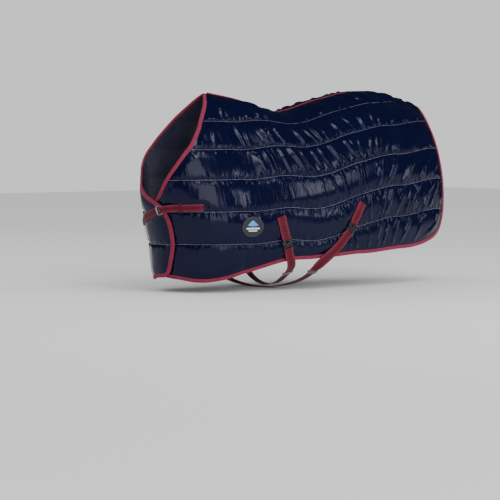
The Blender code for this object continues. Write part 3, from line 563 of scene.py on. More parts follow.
def piece(name, vertices, faces, finish, bodyName, nodes=(), smooth=True):
    mesh = bpy.data.meshes.new(name)
    mesh.from_pydata([tuple(v) for v in vertices], [], [tuple(int(i) for i in f) for f in faces])
    mesh.update()
    made = bpy.data.objects.new(name, mesh)
    scene.collection.objects.link(made)
    if smooth:
        mesh.shade_smooth()
    if finish:
        mesh.materials.append(finishes[finish])
    if bodyName:
        settle(made, bodyName, nodes)
    return made


def settle(made, bodyName, nodes=()):
    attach(made, bodyName)
    if nodes:
        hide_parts(*nodes)


def faceOut(made):
    # turns the faces over where the closed shape is inside out, and gives its volume
    bm = bmesh.new()
    bm.from_mesh(made.data)
    volume = bm.calc_volume(signed=True)
    if volume < 0:
        bmesh.ops.reverse_faces(bm, faces=bm.faces)
        bm.to_mesh(made.data)
    bm.free()
    return volume


def uvMap(mesh, name, perVertex):
    layer = mesh.uv_layers.new(name=name)
    index = np.zeros(len(mesh.loops), int)
    mesh.loops.foreach_get("vertex_index", index)
    layer.data.foreach_set("uv", np.asarray(perVertex, float)[index].ravel())


def attribute(mesh, name, values):
    mesh.attributes.new(name, "FLOAT", "POINT").data.foreach_set("value", np.asarray(values, float))


# the quilted sides
def quiltNet(side, spacing):
    # a triangle net of one panel, with points on its rim and its quilt lines, and which points are sewn
    line, _ = cutEdge(side, spacing * 0.8)
    spineP = np.arange(-0.02 + spacing, form["tail"] - spacing * 0.5, spacing)
    rim = np.vstack([line, np.stack([spineP, np.full(len(spineP), seamQ)], 1)])
    rows = []
    step = spacing * math.sqrt(3) / 2
    for number, q in enumerate(np.arange(seamQ + step, 1.0, step)):
        ps = np.arange(chestEnd, tailEnd, spacing) + (number % 2) * spacing / 2
        rows.append(np.stack([ps, np.full(len(ps), q)], 1))
    inner = np.vstack(rows)
    inner += (draw.random(inner.shape) - 0.5) * spacing * 0.3
    keep = within(rim, inner[:, 0], inner[:, 1]) & (nearest(rim, inner[:, 0], inner[:, 1]) > spacing * 0.6)
    inner = inner[keep]
    seams, lines = [], [(i, (i + 1) % len(rim)) for i in range(len(rim))]
    gaps = np.min([np.abs(inner[:, 1] - quiltLine(k, inner[:, 0])) for k in range(quilt["lines"])], 0)
    inner = inner[gaps > spacing * 0.5]
    for k in range(quilt["lines"]):
        ps = np.arange(chestEnd, tailEnd, spacing * 0.8)
        qs = quiltLine(k, ps)
        keep = within(rim, ps, qs) & (nearest(rim, ps, qs) > spacing * 0.7)
        base = len(rim) + len(seams)
        kept = np.flatnonzero(keep)
        lines += [(base + i, base + i + 1) for i in range(len(kept) - 1) if kept[i + 1] == kept[i] + 1]
        seams += [(ps[i], qs[i]) for i in kept]
    places = [Vector(v) for v in rim] + [Vector(v) for v in seams] + [Vector(v) for v in inner]
    flat, _, faces, origins, _, _ = delaunay_2d_cdt(places, lines, [tuple(range(len(rim)))], 1, 1e-7)
    net = np.array([(v.x, v.y) for v in flat])
    sewn = np.array([any(o < len(rim) + len(seams) for o in olds) for olds in origins])
    return net, np.array([f for f in faces if len(f) == 3]), sewn


def rimOf(faces):
    # directed edges with a face on one side only
    pairs = np.concatenate([faces[:, [0, 1]], faces[:, [1, 2]], faces[:, [2, 0]]])
    known = {(int(a), int(b)) for a, b in pairs}
    return [(a, b) for a, b in known if (b, a) not in known]


def trackGap(spots, points):
    best = np.full(len(points), 9.0)
    spots = np.array([tuple(v) for v in spots])
    for k in range(0, len(points), 3000):
        gaps = ((points[k:k + 3000, None] - spots[None]) ** 2).sum(2)
        best[k:k + 3000] = np.sqrt(gaps.min(1))
    return best


limits = {"high": 0.030, "low": 0.0040, "sideways": 0.010, "strapSlope": 0.30, "chestSlope": 0.25,
          "badgeSlope": 0.020}


def strapLimits(p, q, side, laid):
    # highest and lowest the shell may lie, under straps, badge and the chest's overlap
    high, low = np.full(len(p), limits["high"]), np.full(len(p), limits["low"])
    flat = place(p, q, strap["rest"], side)
    for track in tracks.values():
        gap = trackGap([track.at(s)[0] for s in np.arange(0, track.length, 0.006)], flat)
        beside = np.maximum(0, gap - strap["width"] / 2 - 0.005)
        pressed = strap["rest"] - 0.0007 + beside * limits["strapSlope"]
        high = np.minimum(high, pressed)
    gap = trackGap([chestTrack.at(s)[0] for s in np.arange(0, chestTrack.length, 0.004)], flat)
    high = np.minimum(high, laid - 0.0002 + np.maximum(0, gap - chest["half"] - 0.009) * limits["chestSlope"])
    if side < 0:
        away = np.hypot((p - badge["p"]) / (badge["long"] + 0.004), (q - badge["q"]) / (badge["tall"] + 0.004))
        high = np.minimum(high, badge["base"] - 0.0006 + np.maximum(0, away - 1) * limits["badgeSlope"])
        low = np.maximum(low, (badge["base"] - 0.0009) * (1 - smoothStep(0.9, 1.5, away)))
        high = np.where(p < -0.325, np.minimum(high, laid), high)
    return high, low


drag = {"from": -0.42, "to": 1.27, "gap": 0.022, "moreGap": 0.075, "loinLean": 0.50, "flankLean": 1.05,
        "looseLean": 0.36, "calm": 0.88, "tall": 0.0098, "steep": 0.006, "easy": 0.011, "bow": 0.036,
        "inSheet": 0.5, "onSheet": 0.8}


def dragLines():
    # drag lines in the cloth: both ends, height, widths of the steep and the easy face, and bow
    lines = []
    for row in range(quilt["lines"] + 1):
        middle = quilt["first"] + quilt["pitch"] * (row - 0.5)
        p = drag["from"]
        while p < drag["to"]:
            p += drag["gap"] + drag["moreGap"] * draw.random() ** 1.4
            q = middle + 0.03 * (draw.random() - 0.5)
            lean = drag["loinLean"] * smoothStep(-0.05, 0.45, p)
            lean -= drag["flankLean"] * smoothStep(0.58, 0.88, p) * smoothStep(0.10, 0.34, q)
            lean += drag["looseLean"] * (draw.random() - 0.5)
            size = 0.35 + 0.75 * draw.random()
            # the shoulder and the low middle lie calm
            calm = smoothStep(0.27, 0.33, q) * (1 - smoothStep(-0.04, 0.10, p))
            calm = max(calm, smoothStep(0.42, 0.50, q) * (1 - smoothStep(0.46, 0.62, p)))
            size *= 1 - drag["calm"] * calm
            half = 0.5 * quilt["pitch"] * (0.85 + 0.8 * draw.random()) * (1 - 0.2 * (q / 0.9))
            steep, easy = drag["steep"] + 0.006 * draw.random(), drag["easy"] + 0.026 * draw.random() ** 2
            lines.append((p - lean * half, q - half, p + lean * half, q + half, drag["tall"] * size,
                          steep, easy, (draw.random() - 0.5) * drag["bow"]))
    return lines


def dragHeight(p, q):
    height = np.zeros(len(p))
    for p0, q0, p1, q1, tall, steep, easy, bow in dragLines():
        t = np.clip((q - q0) / (q1 - q0), 0, 1)
        off = p - (p0 + (p1 - p0) * t + bow * np.sin(t * math.pi))
        wide = np.where(off < 0, easy, steep) * (0.35 + 0.65 * np.sin(t * math.pi))
        ridge = np.clip(1 - np.abs(off) / wide, 0, 1)
        ridge = ridge * ridge * (3 - 2 * ridge) * 0.2 + ridge * 0.8
        height = np.maximum(height, tall * ridge * np.sin(t * math.pi) ** 0.6)
    return height


# the quilted shell: its net, its height over the lining, and how its cloth behaves
puff = {"spacing": 0.0084, "seam": 0.0044, "full": 0.0140, "flatness": 4.2, "fill": 0.35}
shellCloth = {"frames": 24, "moreX": 1.070, "moreY": 1.015, "moreZ": 1.002, "pressure": 0.7, "quality": 5,
              "mass": 0.12, "stretch": 16, "shear": 8, "bend": 0.04, "damping": 4}
gather = {"reach": 0.020, "across": 62, "down": 9, "tall": 0.0060}


def puffed(p, q, edgeGap, laid, creases):
    u = np.clip(seamGap(p, q) / (quilt["pitch"] / 2), 0, 1)
    bulge = 1 - (1 - u) ** puff["flatness"]
    height = puff["seam"] + (puff["full"] - puff["seam"]) * bulge
    height = height + creases * drag["inSheet"] * smoothStep(0.0, 0.25, u)
    free = smoothStep(0.017, 0.060, edgeGap) * smoothStep(0.010, 0.03, q)
    return laid - 0.0002 + (height - laid) * free


def loopSmooth(points, extra, faces, fixed):
    # one round of subdivision on triangles; fixed points and the edges between them stay where they are
    pairs = np.concatenate([faces[:, [0, 1]], faces[:, [1, 2]], faces[:, [2, 0]]])
    opposite = np.concatenate([faces[:, 2], faces[:, 0], faces[:, 1]])
    keyed = np.sort(pairs, 1)
    unique, inverse, uses = np.unique(keyed, axis=0, return_inverse=True, return_counts=True)
    inverse = inverse.ravel()
    a, b = unique.T
    across = np.zeros((len(unique), points.shape[1]))
    np.add.at(across, inverse, points[opposite])
    held = (uses < 2) | (fixed[a] & fixed[b])
    middle = (points[a] + points[b]) / 2
    middle = np.where(held[:, None], middle, (points[a] + points[b]) * 0.375 + across * 0.125)
    total, count = np.zeros_like(points), np.zeros(len(points))
    for u, v in ((a, b), (b, a)):
        np.add.at(total, u, points[v])
        np.add.at(count, u, 1)
    count = np.maximum(count, 1)
    beta = np.where(count > 3, 3 / (8 * count), 3 / 16)[:, None]
    moved = points * (1 - count[:, None] * beta) + total * beta
    points = np.where(fixed[:, None], points, moved)
    n = len(points)
    e = inverse.reshape(3, -1) + n
    f0, f1, f2 = faces.T
    finer = np.concatenate([np.stack(t, 1) for t in ((f0, e[0], e[2]), (e[0], f1, e[1]), (e[2], e[1], f2),
                                                     (e[0], e[1], e[2]))])
    half = {(int(x), int(y)): n + i for i, (x, y) in enumerate(unique)}
    return np.vstack([points, middle]), np.vstack([extra, (extra[a] + extra[b]) / 2]), finer, half


def simulate(jobs):
    # each job is an open sheet held at its seams, with more cloth than the seams have length
    made = []
    for job in jobs:
        mesh = bpy.data.meshes.new("sheet")
        mesh.from_pydata([tuple(v) for v in job["start"]], [], [tuple(int(i) for i in f) for f in job["faces"]])
        item = bpy.data.objects.new("sheet", mesh)
        scene.collection.objects.link(item)
        held = item.vertex_groups.new(name="held")
        held.add([int(i) for i in np.flatnonzero(job["held"])], 1.0, "REPLACE")
        item.shape_key_add(name="Basis")
        rest = item.shape_key_add(name="rest")
        rest.data.foreach_set("co", job["rest"].ravel())
        rest.value = 0.0
        settings = item.modifiers.new("settle", "CLOTH").settings
        settings.quality = shellCloth["quality"]
        settings.mass = shellCloth["mass"]
        settings.tension_stiffness = settings.compression_stiffness = shellCloth["stretch"]
        settings.shear_stiffness = shellCloth["shear"]
        settings.bending_stiffness = shellCloth["bend"]
        settings.tension_damping = settings.compression_damping = shellCloth["damping"]
        settings.shear_damping = settings.air_damping = shellCloth["damping"]
        settings.vertex_group_mass = "held"
        settings.rest_shape_key = rest
        settings.use_pressure = True
        settings.uniform_pressure_force = shellCloth["pressure"]
        settings.effector_weights.gravity = 0
        item.modifiers["settle"].point_cache.frame_end = shellCloth["frames"]
        made.append(item)
    for number in range(1, shellCloth["frames"] + 1):
        scene.frame_set(number)
    results = []
    graph = bpy.context.evaluated_depsgraph_get()
    for item in made:
        mesh = item.evaluated_get(graph).to_mesh()
        points = np.zeros(len(mesh.vertices) * 3)
        mesh.vertices.foreach_get("co", points)
        results.append(points.reshape(-1, 3).copy())
    for item in made:
        mesh = item.data
        bpy.data.objects.remove(item, do_unlink=True)
        bpy.data.meshes.remove(mesh)
    scene.frame_set(1)
    return results


sides = {"Left": -1, "Right": 1}
jobs = []
for word, side in sides.items():
    net, faces, sewn = quiltNet(side, puff["spacing"])
    p, q = net.T
    edgeGap = nearest(edges[side][0], p, q)
    laid = laidHeight(p, q, edgeGap)
    high, low = strapLimits(p, q, side, laid)
    creases = dragHeight(p, q)
    height = np.clip(puffed(p, q, edgeGap, laid, creases), low, high)
    start = place(p, q, height, side)
    rest = start * [shellCloth["moreX"], shellCloth["moreY"], shellCloth["moreZ"]]
    rest[:, 0] += start[:, 2] * 0.05 * smoothStep(0.0, 0.5, start[:, 0])
    held = sewn | (edgeGap < 0.017) | (q < 0.014)
    if side > 0:
        faces = faces[:, ::-1]
    corners = start[faces]
    outward = np.cross(corners[:, 1] - corners[:, 0], corners[:, 2] - corners[:, 0])
    if (outward * facing(p, q, side)[faces[:, 0]]).sum() < 0:
        faces = faces[:, ::-1]
    jobs.append({"word": word, "side": side, "creases": creases, "net": net, "faces": faces, "held": held,
                 "high": high, "low": low, "start": start, "rest": rest, "edgeGap": edgeGap})
    print("net", word, len(net), "points")

settled = simulate(jobs)
print("cloth settled")

for job, result in zip(jobs, settled):
    word, side, faces = job["word"], job["side"], job["faces"]
    p, q = job["net"].T
    ground, normal = place(p, q, 0.0, side), facing(p, q, side)
    off = result - ground
    height = (off * normal).sum(1)
    sideways = off - normal * height[:, None]
    reach = np.linalg.norm(sideways, axis=1, keepdims=True)
    sideways *= np.minimum(1, limits["sideways"] / np.maximum(reach, 1e-9))
    free = smoothStep(0.017, 0.045, job["edgeGap"]) * smoothStep(0.0, 0.014, seamGap(p, q))
    free *= smoothStep(0.02, 0.07, q)
    height = np.clip(height + job["creases"] * drag["onSheet"] * free, job["low"], job["high"])
    points = ground + sideways + normal * height[:, None]
    points[job["held"]] = job["start"][job["held"]]
    extra = np.stack([p, q, seamGap(p, q), job["edgeGap"]], 1)
    points, extra, fine, half = loopSmooth(points, extra, faces, job["held"])
    fp, fq = extra[:, 0], extra[:, 1]
    pucker = np.exp(-(extra[:, 2] / gather["reach"]) ** 2) * smoothStep(0.015, 0.03, extra[:, 3])
    wave = (1 - np.abs(2 * grain(fp * gather["across"] + 7, fq * gather["down"]) - 1)) ** 1.5 - 0.4
    lifted = gather["tall"] * wave * pucker * smoothStep(0.0010, 0.009, extra[:, 2])
    points += facing(fp, fq, side) * lifted[:, None]
    count = len(points)
    under = place(p, q, cloth["lining"] + cloth["gap"], side)
    faceList = [tuple(f) for f in fine.tolist()]
    faceList += [(count + c, count + b, count + a) for a, b, c in faces.tolist()]
    for a, b in rimOf(faces):
        faceList.append((b, half[(min(a, b), max(a, b))], a, count + a, count + b))
    made = piece("quilt" + word, np.vstack([points, under]), faceList, "shell", "rug",
                 ["outer_shell_" + word.lower(), "wadding_" + word.lower()])
    uvMap(made.data, "cut", np.vstack([extra[:, :2], job["net"]]))
    attribute(made.data, "pucker", np.concatenate([pucker, 0 * p]))
    print(made.name, len(made.data.polygons), "faces,", round(faceOut(made) * 1000, 2), "litres")

# the linings: a thin sheet that sags a little between the quilt lines
lining = {"spacing": 0.014, "sag": 0.0042, "flat": (1.92, 0.94)}
for word, side in sides.items():
    net, faces, _ = quiltNet(side, lining["spacing"])
    p, q = net.T
    edgeGap = nearest(edges[side][0], p, q)
    if side > 0:
        faces = faces[:, ::-1]
    full = smoothStep(0.017, 0.05, edgeGap) * smoothStep(0.017, 0.04, q)
    full *= 1 - smoothStep(-0.33, -0.37, p) * (side > 0)
    u = np.clip(seamGap(p, q) / (quilt["pitch"] / 2), 0, 1)
    soft = 0.6 + 0.8 * grain(p * 26, q * 7)
    inner = -lining["sag"] * (1 - (1 - u) ** 2) * full * soft
    bottom = place(p, q, inner, side)
    top = place(p, q, inner + cloth["lining"] - 0.0001, side)
    if (np.cross(top[faces[:, 1]] - top[faces[:, 0]], top[faces[:, 2]] - top[faces[:, 0]])
            * facing(p, q, side)[faces[:, 0]]).sum() < 0:
        faces = faces[:, ::-1]
    count = len(top)
    faceList = [tuple(f) for f in faces.tolist()]
    faceList += [(count + c, count + b, count + a) for a, b, c in faces.tolist()]
    faceList += [(b, a, count + a, count + b) for a, b in rimOf(faces)]
    made = piece("lining" + word, np.vstack([top, bottom]), faceList, "lining", "rug",
                 ["lining_" + word.lower()])
    uvMap(made.data, "cut", np.vstack([net, net]))
    attribute(made.data, "pucker", np.zeros(2 * count))
    corners = top[faces]
    slants = np.cross(corners[:, 1] - corners[:, 0], corners[:, 2] - corners[:, 0])
    "quilt" + word


# stitches: one small thread shape set along rows
def stitchTree():
    tree = bpy.data.node_groups.new("stitchRow", "GeometryNodeTree")
    tree.interface.new_socket("Geometry", in_out="INPUT", socket_type="NodeSocketGeometry")
    for name, value in (("Length", 0.003), ("Width", 0.0007), ("Rise", 0.0005)):
        tree.interface.new_socket(name, in_out="INPUT", socket_type="NodeSocketFloat").default_value = value
    tree.interface.new_socket("Thread", in_out="INPUT", socket_type="NodeSocketMaterial")
    tree.interface.new_socket("Geometry", in_out="OUTPUT", socket_type="NodeSocketGeometry")
    add = tree.nodes.new
    given, result = add("NodeGroupInput"), add("NodeGroupOutput")
    ball = add("GeometryNodeMeshUVSphere")
    ball.inputs["Segments"].default_value, ball.inputs["Rings"].default_value = 6, 4
    ball.inputs["Radius"].default_value = 0.5
    ahead, out = add("GeometryNodeInputNamedAttribute"), add("GeometryNodeInputNamedAttribute")
    for node, name in ((ahead, "ahead"), (out, "out")):
        node.data_type = "FLOAT_VECTOR"
        node.inputs["Name"].default_value = name
    along, up = add("FunctionNodeAlignRotationToVector"), add("FunctionNodeAlignRotationToVector")
    along.axis, up.axis, up.pivot_axis = "X", "Z", "X"
    size, set_ = add("ShaderNodeCombineXYZ"), add("GeometryNodeInstanceOnPoints")
    real, dye = add("GeometryNodeRealizeInstances"), add("GeometryNodeSetMaterial")
    link = tree.links.new
    link(given.outputs["Geometry"], set_.inputs["Points"])
    link(ball.outputs["Mesh"], set_.inputs["Instance"])
    link(ahead.outputs["Attribute"], along.inputs["Vector"])
    link(along.outputs["Rotation"], up.inputs["Rotation"])
    link(out.outputs["Attribute"], up.inputs["Vector"])
    link(up.outputs["Rotation"], set_.inputs["Rotation"])
    for name, axis in (("Length", "X"), ("Width", "Y"), ("Rise", "Z")):
        link(given.outputs[name], size.inputs[axis])
    link(size.outputs["Vector"], set_.inputs["Scale"])
    link(set_.outputs["Instances"], real.inputs["Geometry"])
    link(real.outputs["Geometry"], dye.inputs["Geometry"])
    link(given.outputs["Thread"], dye.inputs["Material"])
    link(dye.outputs["Geometry"], result.inputs["Geometry"])
    return tree


rowTree = stitchTree()
# length, width and rise of each thread, and the gap from one stitch to the next
threads = {"quilt": ((0.0036, 0.0013, 0.0009), 0.0046), "binding": ((0.0030, 0.0008, 0.0006), 0.0042),
           "webbing": ((0.0028, 0.0008, 0.0006), 0.0036), "badge": ((0.0052, 0.0011, 0.0011), 0.0011)}


def asPlain(item, name):
    graph = bpy.context.evaluated_depsgraph_get()
    mesh = bpy.data.meshes.new_from_object(item.evaluated_get(graph))
    item.modifiers.clear()
    item.data = mesh
    mesh.name = name
    return item


def stitches(name, rows, size, thread, bodyName="rug"):
    # rows are arrays of (spot, ahead, out) with one line for each stitch
    rows = np.vstack(rows)
    made = piece(name, rows[:, 0:3], [], None, None)
    for key, values in (("ahead", rows[:, 3:6]), ("out", rows[:, 6:9])):
        made.data.attributes.new(key, "FLOAT_VECTOR", "POINT").data.foreach_set("vector", values.ravel())
    modifier = made.modifiers.new("rows", "NODES")
    modifier.node_group = rowTree
    values = {"Length": size[0], "Width": size[1], "Rise": size[2], "Thread": finishes[thread]}
    for socket in rowTree.interface.items_tree:
        if socket.in_out == "INPUT" and socket.name in values:
            modifier[socket.identifier] = values[socket.name]
    bpy.context.view_layer.update()
    made = asPlain(made, name)
    made.data.shade_smooth()
    settle(made, bodyName)
    print(name, len(rows), "stitches")
    return made


def rowAlong(spots, normals, gap):
    # evenly spaced stitches on a line of places
    spots, normals = np.asarray(spots), np.asarray(normals)
    steps = np.linalg.norm(np.diff(spots, axis=0), axis=1)
    reach = np.concatenate([[0], np.cumsum(steps)])
    at = np.arange(gap / 2, reach[-1], gap)
    read = lambda values: np.stack([np.interp(at, reach, values[:, k]) for k in range(3)], 1)
    spot, normal = read(spots), read(normals)
    ahead = read(np.gradient(spots, axis=0))
    ahead /= np.linalg.norm(ahead, axis=1, keepdims=True)
    return np.hstack([spot, ahead, normal])


rows = []
for word, side in sides.items():
    for k in range(quilt["lines"]):
        ps = np.arange(chestEnd, tailEnd, 0.004)
        qs = quiltLine(k, ps)
        gap = nearest(edges[side][0], ps, qs)
        keep = within(edges[side][0], ps, qs) & (gap > 0.017)
        ps, qs = ps[keep], qs[keep]
        laid = laidHeight(ps, qs, gap[keep])
        free = smoothStep(0.017, 0.060, gap[keep]) * smoothStep(0.010, 0.03, qs)
        height = laid - 0.0002 + (puff["seam"] - laid) * free
        rows.append(rowAlong(place(ps, qs, height + 0.0002, side), facing(ps, qs, side), threads["quilt"][1]))
# the quilt stitches carry the pale thread: a painted highlight along the quilt lines
stitches("quiltStitches", rows, threads["quilt"][0], "paintedHighlightThread")


# a closed section swept along rings: bindings, piping, tape
def sweep(name, rings, nodes):
    rings = np.asarray(rings)
    count, size = rings.shape[:2]
    faces = []
    for i in range(count - 1):
        for k in range(size):
            n = (k + 1) % size
            faces.append((i * size + k, i * size + n, (i + 1) * size + n, (i + 1) * size + k))
    faces += [tuple(range(size))[::-1], tuple((count - 1) * size + k for k in range(size))]
    flat = rings.reshape(-1, 3)
    made = piece(name, flat, faces, "binding", "rug", nodes)
    steps = np.linalg.norm(np.diff(rings.mean(1), axis=0), axis=1)
    reach = np.repeat(np.concatenate([[0], np.cumsum(steps)]), size)
    around = np.linalg.norm(np.roll(rings, -1, 1) - rings, axis=2)
    turn = (np.cumsum(around, 1) - around).reshape(-1)
    uvMap(made.data, "weave", np.stack([reach, turn], 1))
    attribute(made.data, "edge", np.zeros(len(flat)))
    faceOut(made)
    return made


def bindingPiece(word, side, part, line, span):
    keep = np.arange(span[0], span[1] + 1)
    p, q = line[keep].T
    before, after = line[np.maximum(keep - 1, 0)], line[np.minimum(keep + 1, len(line) - 1)]
    ahead = onGrid(gridSpot, *after.T) - onGrid(gridSpot, *before.T)
    normal = facing(p, q)
    into = np.cross(ahead, normal)
    if keep[0] == 0:
        into[0] = (-1, 0, 0)
    if keep[-1] == len(line) - 1:
        into[-1] = (1, 0, 0)
    into -= normal * (into * normal).sum(1)[:, None]
    into /= np.linalg.norm(into, axis=1, keepdims=True)
    ahead /= np.linalg.norm(ahead, axis=1, keepdims=True)
    slide = np.zeros_like(ahead)
    slide[0], slide[-1] = ahead[0] * binding["gap"], -ahead[-1] * binding["gap"]
    reach, tape, gap = binding["width"], binding["cloth"], binding["gap"]
    steps = np.linalg.norm(np.diff(onGrid(gridSpot, p, q), axis=0), axis=1)
    s = np.concatenate([[0], np.cumsum(steps)])
    edgeTop = cloth["lining"] + cloth["shell"] + 2 * gap + cloth["edge"] + 0 * p
    innerP, innerQ = shifted(p, q, into * reach)
    innerTop = laidHeight(innerP, innerQ, nearest(edges[side][0], innerP, innerQ))
    wave = 0.0005 * (grain(s * 48 + 5 * side, s * 0 + 3) - 0.5)
    out = 2 * gap + tape
    profile = [(reach, -gap, 0), (-2 * gap, -gap, 0), (-2 * gap, edgeTop + gap, 0), (reach, innerTop + gap, 0),
               (reach + 0.0001, innerTop + gap + tape * 0.8, 1),
               (reach - 0.0012, innerTop + gap + tape * 1.15, 1),
               (reach * 0.5, (edgeTop + innerTop) / 2 + gap + tape * 1.35, 1),
               (0.0015, edgeTop + gap + tape * 1.2, 1), (-0.0006, edgeTop + gap + tape * 0.75, 1),
               (-out, edgeTop * 0.62, 0), (-out, edgeTop * 0.25, 0), (-0.0006, -gap - tape * 0.75, 0),
               (0.0015, -gap - tape * 1.1, 0), (reach, -gap - tape, 0)]
    rings = []
    for off, height, wavy in profile:
        a, b = shifted(p, q, into * (off + wave * 1.5 * (off > 0.01))[:, None] + slide)
        rings.append(place(a, np.maximum(b, seamQ), height + wave * wavy, side))
    rings = np.stack(rings, 1)
    name = part + "Binding" + word
    sweep(name, rings, [part + "_binding_" + word.lower()])
    a, b = shifted(p, q, into * (reach - 0.0032))
    top = edgeTop + (innerTop - edgeTop) * 0.8 + gap + tape * 1.3
    return rowAlong(place(a, b, top + 0.0001, side), facing(a, b, side), threads["binding"][1])


rows = []
for word, side in sides.items():
    line, spans = cutEdge(side, binding["spacing"])
    for part, span in spans.items():
        rows.append(bindingPiece(word, side, part, line, span))
stitches("bindingStitches", rows, threads["binding"][0], "redThread")

pipingP = np.linspace(0.0, form["tail"] - 0.026, 180)
seamTop = laidHeight(pipingP, 0 * pipingP + seamQ, 0 * pipingP + 0.06)
sideTop = seamTop + (laidHeight(pipingP, 0 * pipingP + 0.016, 0 * pipingP + 0.06) - seamTop) * 0.35 + 0.0008
rings = []
for q, rise, sign in ((0.0055, 0, -1), (0.0050, 0.0016, -1), (0.0036, 0.0029, -1), (0.0018, 0.0037, -1),
                      (0.0, 0.0039, -1), (0.0018, 0.0037, 1), (0.0036, 0.0029, 1), (0.0050, 0.0016, 1),
                      (0.0055, 0, 1), (0.0, -0.0012, 1)):
    base = seamTop + 0.0020 if rise < 0 else sideTop
    uneven = 0.0003 * (grain(pipingP * 60, 0 * pipingP) - 0.5)
    ring = place(pipingP, 0 * pipingP + max(q, 0), base + rise + uneven, -1)
    ring[:, 1] = sign * q
    rings.append(ring)
sweep("spinePiping", np.stack(rings, 1), ["spine_piping"])
tapeP = np.linspace(0.001, form["tail"] - 0.040, 120)
rings = [place(tapeP, 0 * tapeP + q, -0.0020 - drop, side) for q, drop, side in (
    (0.0160, 0.0002, -1), (0.010, 0.0, -1), (seamQ, 0.0, -1), (seamQ, 0.0, 1), (0.010, 0.0, 1),
    (0.0160, 0.0002, 1), (0.0157, 0.0009, 1), (0.010, 0.0010, 1), (seamQ, 0.0009, 1), (seamQ, 0.0009, -1),
    (0.010, 0.0010, -1), (0.0157, 0.0009, -1))]
sweep("spineTape", np.stack(rings, 1), ["spine_tape"])


# webbing
def lanesFor(half, cuts=()):
    inner = sorted({-half + 0.0008, -half * 0.5, 0.0, half * 0.5, half - 0.0008, *cuts})
    return [-half, *inner, half]


def ribbon(name, stations, lanes, nodes, holes=()):
    rows, cols, thick = len(stations), len(lanes), strap["thick"]
    half = lanes[-1]
    low, high, weave, rim = [], [], [], []
    s = 0.0
    for i, row in enumerate(stations):
        if i:
            s += (row[cols // 2][0] - stations[i - 1][cols // 2][0]).length
        for k, (spot, normal) in enumerate(row):
            edge = abs(lanes[k]) > half - 1e-6
            end = i in (0, rows - 1)
            deep = thick / 2 * (0.40 if edge else 1.0) * (0.5 if end else 1.0)
            low.append(spot - normal * deep)
            high.append(spot + normal * deep)
            weave.append((s, lanes[k]))
            # rim: a lighter band near each edge and 0.35 at the edges, a painted highlight along the webbing's
            # edges
            near = abs(abs(lanes[k]) - half * 0.78)
            rim.append(max(0.0, 1 - near / (half * 0.30)) if not edge else 0.35)
    count = rows * cols
    cells = {(i, k) for i in range(rows - 1) for k in range(cols - 1)} - set(holes)
    faces = []
    for i, k in sorted(cells):
        a = i * cols + k
        b = a + cols
        faces.append((count + a, count + a + 1, count + b + 1, count + b))
        faces.append((a, b, b + 1, a + 1))
        for other, (u, v) in (((i, k - 1), (b, a)), ((i, k + 1), (a + 1, b + 1)), ((i - 1, k), (a, a + 1)),
                              ((i + 1, k), (b + 1, b))):
            if other not in cells:
                faces.append((u, v, count + v, count + u))
    used = sorted({v for face in faces for v in face})
    renumber = {old: new for new, old in enumerate(used)}
    vertices = [(low + high)[v] for v in used]
    faces = [tuple(renumber[v] for v in f) for f in faces]
    made = piece(name, vertices, faces, "webbing", "rug", nodes)
    weave, rim = np.array(weave + weave)[used], np.array(rim + rim)[used]
    uvMap(made.data, "weave", weave)
    attribute(made.data, "edge", rim)
    made.data.set_sharp_from_angle(angle=math.radians(50))
    faceOut(made)
    return made


def boxStitch(track, start, stop, half, height, cross=True):
    # a sewn box with a cross in it, on top of webbing
    def run(a, b):
        spots, normals = [], []
        for t in np.linspace(0, 1, 12):
            s, off = a[0] + (b[0] - a[0]) * t, a[1] + (b[1] - a[1]) * t
            spot, normal = track.row(s, height, [off])[0]
            spots.append(tuple(spot))
            normals.append(tuple(normal))
        return rowAlong(spots, normals, threads["webbing"][1])
    corners = [(start, -half), (stop, -half), (stop, half), (start, half)]
    result = [run(a, b) for a, b in zip(corners, corners[1:] + corners[:1])]
    if cross:
        result += [run(corners[0], corners[2]), run(corners[1], corners[3])]
    return result


def copied(name, node, finish, bodyName, bevel):
    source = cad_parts[node]
    mesh = source.data.copy()
    mesh.transform(source.matrix_world)
    made = bpy.data.objects.new(name, mesh)
    scene.collection.objects.link(made)
    bm = bmesh.new()
    bm.from_mesh(mesh)
    bmesh.ops.remove_doubles(bm, verts=bm.verts, dist=1e-6)
    bmesh.ops.dissolve_limit(bm, angle_limit=math.radians(1.5), verts=bm.verts, edges=bm.edges)
    bm.to_mesh(mesh)
    bm.free()
    if bevel:
        modifier = made.modifiers.new("bevel", "BEVEL")
        modifier.width, modifier.segments, modifier.limit_method = bevel, 3, "ANGLE"
        modifier.angle_limit = math.radians(35)
        bpy.context.view_layer.update()
        asPlain(made, name)
    made.data.materials.clear()
    made.data.materials.append(finishes[finish])
    made.data.shade_smooth()
    made.data.set_sharp_from_angle(angle=math.radians(50))
    settle(made, bodyName, [node])
    return made


